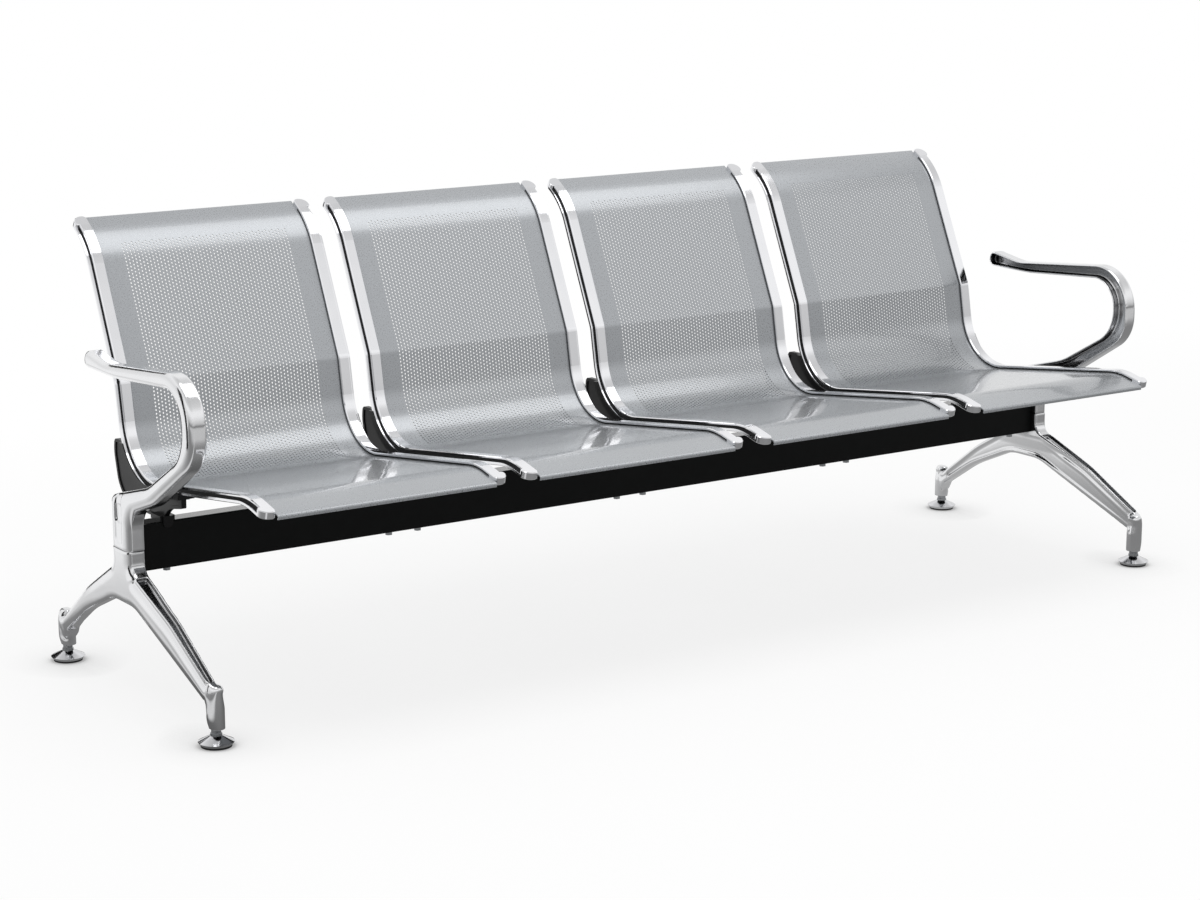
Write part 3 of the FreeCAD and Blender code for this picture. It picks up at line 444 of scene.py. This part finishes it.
# The ring of sheet round one hole
circle = add(tree, "GeometryNodeMeshCircle", {"Vertices": 6, "Radius": hole_radius})
ring = add(tree, "GeometryNodeExtrudeMesh", {"Mesh": circle.outputs[0], "Offset Scale": 0.0}, mode="EDGES")
left_or_right = add(tree, "ShaderNodeMath", {0: here_x}, operation="SIGN").outputs[0]
in_radii = add(tree, "ShaderNodeMath", {0: here_s, 1: hole_radius}, operation="DIVIDE").outputs[0]
up_or_down = add(tree, "ShaderNodeMath", {0: in_radii}, operation="ROUND").outputs[0]
corner_x = add(tree, "ShaderNodeMath", {0: left_or_right, 1: half_step}, operation="MULTIPLY").outputs[0]
corner_s = add(tree, "ShaderNodeMath", {0: up_or_down, 1: half_step}, operation="MULTIPLY").outputs[0]
corner = add(tree, "ShaderNodeCombineXYZ", {0: corner_x, 1: corner_s}).outputs[0]
cell = add(tree, "GeometryNodeSetPosition",
           {"Geometry": ring.outputs[0], "Selection": ring.outputs["Top"], "Position": corner})

# One point for each hole, with each second column half a step further on
gaps_x = add(tree, "ShaderNodeMath", {0: given["Columns"], 1: 1.0}, operation="SUBTRACT").outputs[0]
gaps_s = add(tree, "ShaderNodeMath", {0: given["Rows"], 1: 1.0}, operation="SUBTRACT").outputs[0]
width = add(tree, "ShaderNodeMath", {0: gaps_x, 1: given["Step"]}, operation="MULTIPLY").outputs[0]
length = add(tree, "ShaderNodeMath", {0: gaps_s, 1: given["Step"]}, operation="MULTIPLY").outputs[0]
grid = add(tree, "GeometryNodeMeshGrid", {"Size X": width, "Size Y": length,
                                          "Vertices X": given["Columns"], "Vertices Y": given["Rows"]})
half_width = add(tree, "ShaderNodeMath", {0: width, 1: 0.5}, operation="MULTIPLY").outputs[0]
from_left = add(tree, "ShaderNodeMath", {0: here_x, 1: half_width}, operation="ADD").outputs[0]
in_steps = add(tree, "ShaderNodeMath", {0: from_left, 1: given["Step"]}, operation="DIVIDE").outputs[0]
column = add(tree, "ShaderNodeMath", {0: in_steps}, operation="ROUND").outputs[0]
odd = add(tree, "ShaderNodeMath", {0: column, 1: 2.0}, operation="MODULO").outputs[0]
shift = add(tree, "ShaderNodeMath", {0: odd, 1: half_step}, operation="MULTIPLY").outputs[0]
field = add(tree, "ShaderNodeMath", {0: given["Rows"], 1: given["Step"]}, operation="MULTIPLY").outputs[0]
half_field = add(tree, "ShaderNodeMath", {0: field, 1: 0.5}, operation="MULTIPLY").outputs[0]
middle = add(tree, "ShaderNodeMath", {0: given["Field Start"], 1: half_field}, operation="ADD").outputs[0]
shifted = add(tree, "ShaderNodeMath", {0: middle, 1: shift}, operation="ADD").outputs[0]
to_field = add(tree, "ShaderNodeCombineXYZ", {1: shifted}).outputs[0]
points = add(tree, "GeometryNodeSetPosition", {"Geometry": grid.outputs[0], "Offset": to_field})
cells = add(tree, "GeometryNodeInstanceOnPoints", {"Points": points.outputs[0], "Instance": cell.outputs[0]})
real_cells = add(tree, "GeometryNodeRealizeInstances", {0: cells.outputs[0]})

# Join, weld and thicken while flat
joined = add(tree, "GeometryNodeJoinGeometry")
tree.links.new(given["Blank"], joined.inputs[0])
tree.links.new(real_cells.outputs[0], joined.inputs[0])
welded = add(tree, "GeometryNodeMergeByDistance", {"Geometry": joined.outputs[0], "Distance": weld * mm})
lowered = add(tree, "ShaderNodeMath", {0: given["Thickness"], 1: -1.0}, operation="MULTIPLY").outputs[0]
down = add(tree, "ShaderNodeCombineXYZ", {2: lowered}).outputs[0]
under = add(tree, "GeometryNodeSetPosition", {"Geometry": welded.outputs[0], "Offset": down})
upper = add(tree, "GeometryNodeExtrudeMesh",
            {"Mesh": under.outputs[0], "Offset": (0.0, 0.0, 1.0), "Offset Scale": given["Thickness"],
             "Individual": False}, mode="FACES")
turned_over = add(tree, "GeometryNodeFlipFaces", {0: under.outputs[0]})
shell = add(tree, "GeometryNodeJoinGeometry")
tree.links.new(upper.outputs[0], shell.inputs[0])
tree.links.new(turned_over.outputs[0], shell.inputs[0])
closed = add(tree, "GeometryNodeMergeByDistance", {"Geometry": shell.outputs[0], "Distance": weld * mm})

# Bend along the rounded profile
corner_line = add(tree, "GeometryNodeObjectInfo", {"Object": given["Profile"]})
bend_radius = add(tree, "GeometryNodeInputRadius").outputs[0]
rounded = add(tree, "GeometryNodeFilletCurve",
              {"Curve": corner_line.outputs["Geometry"], "Radius": bend_radius, "Count": 40}, mode="POLY")
looked_up = add(tree, "GeometryNodeSampleCurve", {"Curves": rounded.outputs[0], "Length": here_s},
                mode="LENGTH")
_, run_y, run_z = add(tree, "ShaderNodeSeparateXYZ", {0: looked_up.outputs["Tangent"]}).outputs
_, base_y, base_z = add(tree, "ShaderNodeSeparateXYZ", {0: looked_up.outputs["Position"]}).outputs
back = add(tree, "ShaderNodeMath", {0: run_z, 1: here_depth}, operation="MULTIPLY").outputs[0]
rise = add(tree, "ShaderNodeMath", {0: run_y, 1: here_depth}, operation="MULTIPLY").outputs[0]
bent_y = add(tree, "ShaderNodeMath", {0: base_y, 1: back}, operation="SUBTRACT").outputs[0]
bent_z = add(tree, "ShaderNodeMath", {0: base_z, 1: rise}, operation="ADD").outputs[0]
bent_place = add(tree, "ShaderNodeCombineXYZ", {0: here_x, 1: bent_y, 2: bent_z}).outputs[0]
bent = add(tree, "GeometryNodeSetPosition", {"Geometry": closed.outputs[0], "Position": bent_place})
whole = add(tree, "GeometryNodeRealizeInstances", {0: bent.outputs[0]})
painted = add(tree, "GeometryNodeSetMaterial", {"Geometry": whole.outputs[0], "Material": given["Finish"]})
add(tree, "NodeGroupOutput", {0: painted.outputs[0]})
print("punch_and_bend:", len(tree.nodes), "nodes")


# %% Punch and bend one sheet
pattern_sheet = bpy.data.objects.new("pattern_sheet", blank)
bpy.context.collection.objects.link(pattern_sheet)
press = pattern_sheet.modifiers.new("press", "NODES")
press.node_group = tree
settings = {"Profile": profile, "Step": step * mm, "Hole": hole * mm, "Columns": columns, "Rows": rows,
            "Field Start": field_start_s * mm, "Thickness": thickness * mm, "Finish": lacquer}
for item in tree.interface.items_tree:
    if item.in_out == "INPUT" and item.name in settings:
        press[item.identifier] = settings[item.name]
pressed = bpy.data.meshes.new_from_object(pattern_sheet.evaluated_get(bpy.context.evaluated_depsgraph_get()))
pattern_sheet.modifiers.remove(press)
bpy.data.objects.remove(pattern_sheet)
bpy.data.objects.remove(profile)
triangles = sum(len(face.vertices) - 2 for face in pressed.polygons)
print("one sheet:", triangles, "triangles, lowest z %.4f" % min(v.co.z for v in pressed.vertices))

# %% [markdown]
# The four sheets are alike, so each seat gets a copy of the pressed mesh, moved along the row to
# the place of the solid that it stands for. Only edges sharper than 40 degrees stay sharp, which
# are the rims of the holes and of the sheet, so that bends shade as one smooth surface.

# %% Four sheets
for number in range(1, 5):
    node_name = "seat_pan_%d" % number
    low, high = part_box(node_name)
    middle_x = (low[0] + high[0]) / 2
    mesh = pressed.copy()
    mesh.transform(Matrix.Translation((middle_x, 0, 0)))
    mesh.shade_smooth()
    mesh.set_sharp_from_angle(angle=math.radians(40))
    sheet = bpy.data.objects.new("sheet_%d" % number, mesh)
    bpy.context.collection.objects.link(sheet)
    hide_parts(node_name)
    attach(sheet, "bench")
print("sheets stand for nodes seat_pan_1 to seat_pan_4")

# %% [markdown]
# A casting has no flat sides: the pattern that shapes its sand mould is crowned, so that the metal
# flows and the polishing wheel finds no edge. The solids have flat sides with rounded rims. A voxel
# remesh gives a copy of each an even skin, smoothing rounds it off, and then it can be shaped like
# clay. The outer side is crowned, most at the rim and less towards the middle, and gets the flat
# dish of the post. The legs' inner side gets a groove between two ribs, and the sockets of the feet
# become rounder. What touches another piece stays where it is: the seam, the face against the beam
# with its spigot, and the mouths of the sockets.

# %% Sizes of the castings
outer_side = 1138.0
half_width = 18.0
seam_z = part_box("leg_left")[1][2] / mm
socket_mouth = 32.0
skin_step = 1.4
crown, crown_reach = 6.0, 24.0
dish_radius, dish_length, dish_depth, dish_wall, dish_above_seam = 14.0, 48.0, 3.0, 3.0, 48.0
dish_y = (beam_low[1] + beam_high[1]) / 2 / mm
dish_z = seam_z + dish_above_seam + dish_radius
inner_crown, inner_reach = 5.0, 20.0
groove_depth, groove_from, groove_wall = 3.5, 9.0, 4.0
groove_low, groove_high, groove_fade = 70.0, 225.0, 20.0
socket_radius, socket_reach, socket_squeeze = 18.5, 26.0, 0.75
socket_edge, socket_fade = 2.0, 14.0
socket_tops = (88.0, 58.0)
seam_band, mouth_band, inner_band = 1.5, 1.2, 1.0
outline_from, outline_to, outline_slant = 9.0, 13.0, 0.3
rounding_rounds, push_back, smoothing_rounds, blending_rounds = 60, 0.52, 10, 6
feet = [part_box("foot_stem_front_left"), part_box("foot_stem_rear_left")]
foot_axes = [(-(low[0] + high[0]) / 2 / mm, (low[1] + high[1]) / 2 / mm) for low, high in feet]
print("foot axes at", foot_axes)


# %% An even skin
def even_skin(node_name, voxel):
    """A closed, evenly meshed copy of a node."""
    copy = frame["nodes"][node_name].data.copy()
    welded = bmesh.new()
    welded.from_mesh(copy)
    bmesh.ops.remove_doubles(welded, verts=welded.verts, dist=0.005 * mm)
    welded.to_mesh(copy)
    welded.free()
    helper = bpy.data.objects.new("helper", copy)
    bpy.context.collection.objects.link(helper)
    skin = helper.modifiers.new("skin", "REMESH")
    skin.mode = "VOXEL"
    skin.voxel_size = voxel
    mesh = bpy.data.meshes.new_from_object(helper.evaluated_get(bpy.context.evaluated_depsgraph_get()))
    bpy.data.objects.remove(helper)
    return mesh


# %% Points and their neighbours
def measured(mesh):
    """A mesh's points in millimetres, its normals and the pairs of points that its edges join."""
    points, normals = np.empty(len(mesh.vertices) * 3), np.empty(len(mesh.vertices) * 3)
    edges = np.empty(len(mesh.edges) * 2, dtype=np.int32)
    mesh.vertices.foreach_get("co", points)
    mesh.vertices.foreach_get("normal", normals)
    mesh.edges.foreach_get("vertices", edges)
    return points.reshape(-1, 3) / mm, normals.reshape(-1, 3), edges.reshape(-1, 2)


def neighbour_table(edges, size):
    """For each point its neighbours in a row, filled up with the point itself."""
    both = np.concatenate([edges, edges[:, ::-1]])
    both = both[np.argsort(both[:, 0], kind="stable")]
    count = np.bincount(both[:, 0], minlength=size)
    place_in_row = np.arange(len(both)) - np.repeat(np.cumsum(count) - count, count)
    table = np.repeat(np.arange(size)[:, None], count.max(), axis=1)
    table[both[:, 0], place_in_row] = both[:, 1]
    return table, count[:, None]


def soften(points, table, count, free, rounds, push=0.0):
    """Moves points towards the mean of their neighbours. A push back keeps them from shrinking."""
    spare = table.shape[1] - count
    for _ in range(rounds):
        for share in (0.5, -push):
            mean = (points[table].sum(axis=1) - points * spare) / count
            points = points + (mean - points) * share * free
    return points


def outline_distance(points, on_outline):
    """How far each point lies from the outline that a look from the side shows."""
    outline = KDTree(int(on_outline.sum()))
    for i, (_, y, z) in enumerate(points[on_outline]):
        outline.insert((0, y, z), i)
    outline.balance()
    return np.array([outline.find((0, y, z))[2] for _, y, z in points])


# %% Crown, dish, groove and sockets
def fade(values, end, length):
    """1 at first and 0 beyond an end, falling evenly over a length before that end."""
    return np.clip((end - values) / length, 0.0, 1.0)


def side_shift(points, depth, away):
    """How far each point moves sideways, out of the bench's middle."""
    inwards = crown * (1.0 - np.minimum(away, crown_reach) / crown_reach) ** 2
    beyond = np.clip(points[:, 2] - dish_z, 0.0, dish_length)
    from_dish = np.hypot(points[:, 1] - dish_y, points[:, 2] - dish_z - beyond)
    inwards += dish_depth * fade(from_dish, dish_radius, dish_wall)
    outwards = inner_crown * (1.0 - np.minimum(away, inner_reach) / inner_reach) ** 2
    outwards += groove_depth * (1.0 - fade(away, groove_from + groove_wall, groove_wall))
    on_leg = fade(points[:, 2], groove_high, groove_fade)
    on_leg = on_leg * (1.0 - fade(points[:, 2], groove_low + groove_fade, groove_fade))
    at_inner_side = 1.0 - fade(depth, 2 * half_width, half_width)
    return outwards * at_inner_side * on_leg - inwards * fade(depth, half_width, half_width)


def round_sockets(points, side):
    """Draws the corners of both sockets in towards the axes of their feet."""
    for (axis_x, axis_y), top in zip(foot_axes, socket_tops):
        across, deep = points[:, 0] * side - axis_x, points[:, 1] - axis_y
        reach = np.hypot(across, deep)
        too_far = np.maximum(reach - socket_radius, 0.0) * fade(reach, socket_reach, socket_edge)
        below_top = fade(points[:, 2], top, socket_fade)
        share = 1.0 - socket_squeeze * too_far / np.maximum(reach, 1.0) * below_top
        points[:, 0] = side * (axis_x + across * share)
        points[:, 1] = axis_y + deep * share


# %% One casting
def crowned(node_name):
    """A node's even skin, rounded off, crowned and dished. A point held in place has 0 in free."""
    mesh = even_skin(node_name, skin_step * mm)
    points, normals, edges = measured(mesh)
    table, count = neighbour_table(edges, len(points))
    side = math.copysign(1.0, points[0, 0])
    depth = outer_side - np.abs(points[:, 0])
    on_seam = np.abs(points[:, 2] - seam_z) < seam_band
    on_rim = (np.abs(normals[:, 0]) < outline_slant) & (depth > outline_from) & (depth < outline_to)
    on_outline = on_rim & ~on_seam
    away = outline_distance(points, on_outline)
    free = np.ones_like(points)
    free[depth > 2 * half_width - inner_band, 0] = 0.0
    free[on_seam, 2] = 0.0
    free[points[:, 2] < socket_mouth + mouth_band] = 0.0
    points = soften(points, table, count, free, rounding_rounds, push_back)
    points = soften(points, table, count, free, smoothing_rounds)
    shift = soften(side_shift(points, depth, away)[:, None], table, count, 1.0, blending_rounds)
    points[:, 0] += side * shift[:, 0]
    round_sockets(points, side)
    mesh.vertices.foreach_set("co", (points * mm).ravel())
    mesh.shade_smooth()
    mesh.materials.clear()
    mesh.materials.append(casting)
    print(node_name, len(mesh.polygons), "faces,", int(on_outline.sum()), "points on the outline")
    return mesh


# %% Two legs and two armrests
for node_name in ("leg_left", "leg_right", "armrest_left", "armrest_right"):
    piece = bpy.data.objects.new("cast_" + node_name, crowned(node_name))
    bpy.context.collection.objects.link(piece)
    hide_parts(node_name)
    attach(piece, "bench")

# %% [markdown]
# The studio is a wide white floor that runs out into a white world. For the camera the floor goes
# over into pure white with distance, near the bench it keeps a faint shadow, and close to the feet
# an ambient occlusion node paints a contact shadow into it. What metal mirrors is another matter:
# it only looks polished when light and dark stand side by side. So for glossy rays the floor is grey
# in front of the bench, as where a photographer's dark room begins, darkest at the left leg, whose
# arch mirrors it, and light again just beside the left feet.

# %% Floor
floor_mesh = bpy.data.meshes.new("floor")
floor_mesh.from_pydata([(-15, -15, 0), (15, -15, 0), (15, 15, 0), (-15, 15, 0)], [], [(0, 1, 2, 3)])
floor = bpy.data.objects.new("floor", floor_mesh)
bpy.context.collection.objects.link(floor)
paper, tree, shader = new_material("studio_floor_white", Roughness=0.6, Specular_IOR_Level=0.2)
place = add(tree, "ShaderNodeTexCoord").outputs["Object"]
mottle = add(tree, "ShaderNodeTexNoise", {"Vector": place, "Scale": every(0.5), "Detail": 2.0})
tint = add(tree, "ShaderNodeMix",
           {"Factor": mottle.outputs["Fac"], 6: linear("#F6F6F6"), 7: linear("#FAFAFA")},
           data_type="RGBA")
tree.links.new(tint.outputs[2], shader.inputs["Base Color"])
round_bench = add(tree, "ShaderNodeMapping", {"Vector": place, "Scale": (0.45, 1.0, 1.0)})
distance = add(tree, "ShaderNodeVectorMath", {0: round_bench.outputs[0]}, operation="LENGTH").outputs["Value"]
to_white = add(tree, "ShaderNodeMapRange",
               {"Value": distance, "From Min": 0.9, "From Max": 2.4, "To Min": 0.78})
to_grey = add(tree, "ShaderNodeMapRange",
              {"Value": distance, "From Min": 0.0, "From Max": 0.4, "To Min": 0.6})
along_x, along_y = add(tree, "ShaderNodeSeparateXYZ", {0: place}).outputs[:2]


# %% What the metal mirrors of the floor
def set_greys(ramp, stops):
    """Fills a colour ramp with greys, given as pairs of place and grey in rising order."""
    ramp.elements.remove(ramp.elements[1])
    ramp.elements[0].position = stops[0][0]
    for position, _ in stops[1:]:
        ramp.elements.new(position)
    for element, (_, grey) in zip(ramp.elements, stops):
        element.color = (grey, grey, grey, 1)


floor_from, floor_to = -2.5, 1.5
in_front = [(-2.4, 0.62), (-1.9, 0.48), (-1.3, 0.34), (-0.9, 0.25), (-0.6, 0.25)]
by_leg = in_front + [(-0.35, 0.16), (-0.1, 0.12), (0.1, 0.18), (0.5, 0.28), (0.85, 0.7), (1.1, 1.0)]
by_seats = in_front + [(-0.35, 0.25), (-0.1, 0.30), (0.1, 0.36), (0.5, 0.55), (1.1, 1.0)]
depth_of_room = add(tree, "ShaderNodeMapRange",
                    {"Value": along_y, "From Min": floor_from, "From Max": floor_to})
at_left_leg = add(tree, "ShaderNodeValToRGB", {0: depth_of_room.outputs[0]})
under_seats = add(tree, "ShaderNodeValToRGB", {0: depth_of_room.outputs[0]})
for node, stops in ((at_left_leg, by_leg), (under_seats, by_seats)):
    set_greys(node.color_ramp, [((y - floor_from) / (floor_to - floor_from), grey) for y, grey in stops])
rightwards = add(tree, "ShaderNodeMapRange", {"Value": along_x, "From Min": -0.85, "From Max": -0.4})
leftwards = add(tree, "ShaderNodeMapRange", {"Value": along_x, "From Min": -1.22, "From Max": -1.30})
far_left = add(tree, "ShaderNodeMapRange", {"Value": along_x, "From Min": -1.38, "From Max": -1.50})
across_room = add(tree, "ShaderNodeMix",
                  {"Factor": rightwards.outputs[0], 6: at_left_leg.outputs[0], 7: under_seats.outputs[0]},
                  data_type="RGBA")
beside_foot = add(tree, "ShaderNodeMix",
                  {"Factor": leftwards.outputs[0], 6: across_room.outputs[2], 7: (0.75, 0.75, 0.75, 1)},
                  data_type="RGBA")
mirrored_grey = add(tree, "ShaderNodeMix",
                    {"Factor": far_left.outputs[0], 6: beside_foot.outputs[2], 7: under_seats.outputs[0]},
                    data_type="RGBA")
print("greys of the floor:", len(by_leg), "at the left leg and", len(by_seats), "under the seats")

# %% What each kind of ray sees of the floor
# Painted contact shadow: the white that the camera sees of the floor is dimmed where the ambient occlusion
# node finds the feet close by.
contact_shade_ao = add(tree, "ShaderNodeAmbientOcclusion", {"Distance": 120 * mm}, samples=8)
painted_contact_shadow = add(tree, "ShaderNodeMapRange",
                 {"Value": contact_shade_ao.outputs["AO"], "From Min": 0.5, "From Max": 0.95, "To Min": 0.45})
white = add(tree, "ShaderNodeEmission", {"Color": (1, 1, 1, 1), "Strength": painted_contact_shadow.outputs[0]})
dark_room = add(tree, "ShaderNodeEmission", {"Color": mirrored_grey.outputs[2], "Strength": 1.0})
for_camera = add(tree, "ShaderNodeMixShader",
                 {0: to_white.outputs[0], 1: shader.outputs[0], 2: white.outputs[0]})
for_metal = add(tree, "ShaderNodeMixShader",
                {0: to_grey.outputs[0], 1: shader.outputs[0], 2: dark_room.outputs[0]})
paths = add(tree, "ShaderNodeLightPath").outputs
mirrored = add(tree, "ShaderNodeMixShader",
               {0: paths["Is Glossy Ray"], 1: shader.outputs[0], 2: for_metal.outputs[0]})
shown = add(tree, "ShaderNodeMixShader",
            {0: paths["Is Camera Ray"], 1: mirrored.outputs[0], 2: for_camera.outputs[0]})
tree.links.new(shown.outputs[0], tree.nodes["Material Output"].inputs["Surface"])
floor_mesh.materials.append(paper)
print("floor:", len(tree.nodes), "nodes")

# %% [markdown]
# A photographer sets black flags beside polished metal: the camera doesn't see them, but the metal
# mirrors them at its rounded rims, which gives it its dark outlines. These two stand to the left
# of the bench and behind it, and only reflected rays can see them.

# %% Black flags
cloth_black, tree, shader = new_material("studio_flag_black", Roughness=0.9, Specular_IOR_Level=0.1)
place = add(tree, "ShaderNodeTexCoord").outputs["Object"]
weave = add(tree, "ShaderNodeTexNoise", {"Vector": place, "Scale": every(2.5 * mm)})
tint = add(tree, "ShaderNodeMix",
           {"Factor": weave.outputs["Fac"], 6: linear("#141414"), 7: linear("#1E1E1E")},
           data_type="RGBA")
tree.links.new(tint.outputs[2], shader.inputs["Base Color"])


def flag(name, foot_a, foot_b, height):
    (ax, ay), (bx, by) = foot_a, foot_b
    mesh = bpy.data.meshes.new(name)
    mesh.from_pydata([(ax, ay, 0.01), (bx, by, 0.01), (bx, by, height), (ax, ay, height)], [], [(0, 1, 2, 3)])
    mesh.materials.append(cloth_black)
    panel = bpy.data.objects.new(name, mesh)
    bpy.context.collection.objects.link(panel)
    panel.visible_camera = False
    panel.visible_diffuse = False
    panel.visible_shadow = False


flag("flag_left", (-2.5, 0.15), (-2.5, 0.75), 1.5)
flag("flag_rear", (-1.35, 2.0), (-0.75, 2.0), 1.5)
print("two flags, 1.5 m high")

# %% [markdown]
# One large soft lamp above the seats gives the bench its faint shadow. Most of the light comes from
# the world, which is evenly white for soft light. For mirrors it is a room: dark at the horizon in
# front, brightest at 20 to 30 degrees up, where its windows are, and light grey overhead. Two ramps
# hold its greys in front and behind against the sine of the height at which a ray leaves.

# %% Lamp
lamp = bpy.data.lights.new("overhead", "AREA")
lamp.shape = "RECTANGLE"
lamp.size, lamp.size_y = 4.5, 1.6
lamp.energy = 36.0
overhead = bpy.data.objects.new("overhead", lamp)
bpy.context.collection.objects.link(overhead)
overhead.location = (0.0, -0.3, 3.0)
seat_middle = Vector((0.0, 0.0, 0.3))
overhead.rotation_euler = (seat_middle - overhead.location).to_track_quat("-Z", "Y").to_euler()
print("lamp: %.0f W" % lamp.energy)

# %% World
world = bpy.data.worlds.new("studio")
bpy.context.scene.world = world
world.use_nodes = True
tree = world.node_tree
tree.nodes.clear()
look = add(tree, "ShaderNodeTexCoord").outputs["Generated"]
_, look_y, look_z = add(tree, "ShaderNodeSeparateXYZ", {0: look}).outputs
front_room = add(tree, "ShaderNodeValToRGB", {0: look_z})
rear_room = add(tree, "ShaderNodeValToRGB", {0: look_z})
set_greys(front_room.color_ramp, [(0.0, 0.20), (0.04, 0.35), (0.10, 0.62), (0.22, 0.82), (0.36, 1.0),
                                  (0.50, 1.0), (0.62, 0.75), (0.82, 0.62), (1.0, 0.6)])
set_greys(rear_room.color_ramp, [(0.0, 1.0), (0.25, 0.85), (0.45, 0.95), (0.62, 1.0), (0.82, 0.75),
                                 (1.0, 0.6)])
behind = add(tree, "ShaderNodeMapRange", {"Value": look_y, "From Min": -0.2, "From Max": 0.3})
both = add(tree, "ShaderNodeMix",
           {"Factor": behind.outputs[0], 6: front_room.outputs[0], 7: rear_room.outputs[0]},
           data_type="RGBA")
paths = add(tree, "ShaderNodeLightPath").outputs
backdrop = add(tree, "ShaderNodeBackground", {"Color": (1, 1, 1, 1), "Strength": 1.0})
mirrored_room = add(tree, "ShaderNodeBackground", {"Color": both.outputs[2], "Strength": 1.0})
fill = add(tree, "ShaderNodeBackground", {"Color": (1, 1, 1, 1), "Strength": 0.8})
gloss = add(tree, "ShaderNodeMixShader",
            {0: paths["Is Glossy Ray"], 1: fill.outputs[0], 2: mirrored_room.outputs[0]})
clear = add(tree, "ShaderNodeMixShader",
            {0: paths["Is Transmission Ray"], 1: gloss.outputs[0], 2: mirrored_room.outputs[0]})
view = add(tree, "ShaderNodeMixShader",
           {0: paths["Is Camera Ray"], 1: clear.outputs[0], 2: backdrop.outputs[0]})
add(tree, "ShaderNodeOutputWorld", {0: view.outputs[0]})
print("world:", len(tree.nodes), "nodes")

# %% [markdown]
# The camera stands where the photographer stood: its place and angle were worked out from the
# feet, the beam and the evenly spaced seats. The lens is 84 mm on a 36 mm wide picture.

# %% Camera
camera = bpy.data.cameras.new("photographer")
camera.lens = 84.14
camera.sensor_width = 36.0
camera_holder = bpy.data.objects.new("photographer", camera)
bpy.context.collection.objects.link(camera_holder)
camera_holder.location = (-3.2162, -4.5894, 1.5763)
camera_holder.rotation_euler = (math.radians(77.58), 0, math.radians(-34.19))
bpy.context.scene.camera = camera_holder
bpy.context.scene.view_settings.view_transform = "Standard"
print("camera at", tuple(round(c, 3) for c in camera_holder.location))
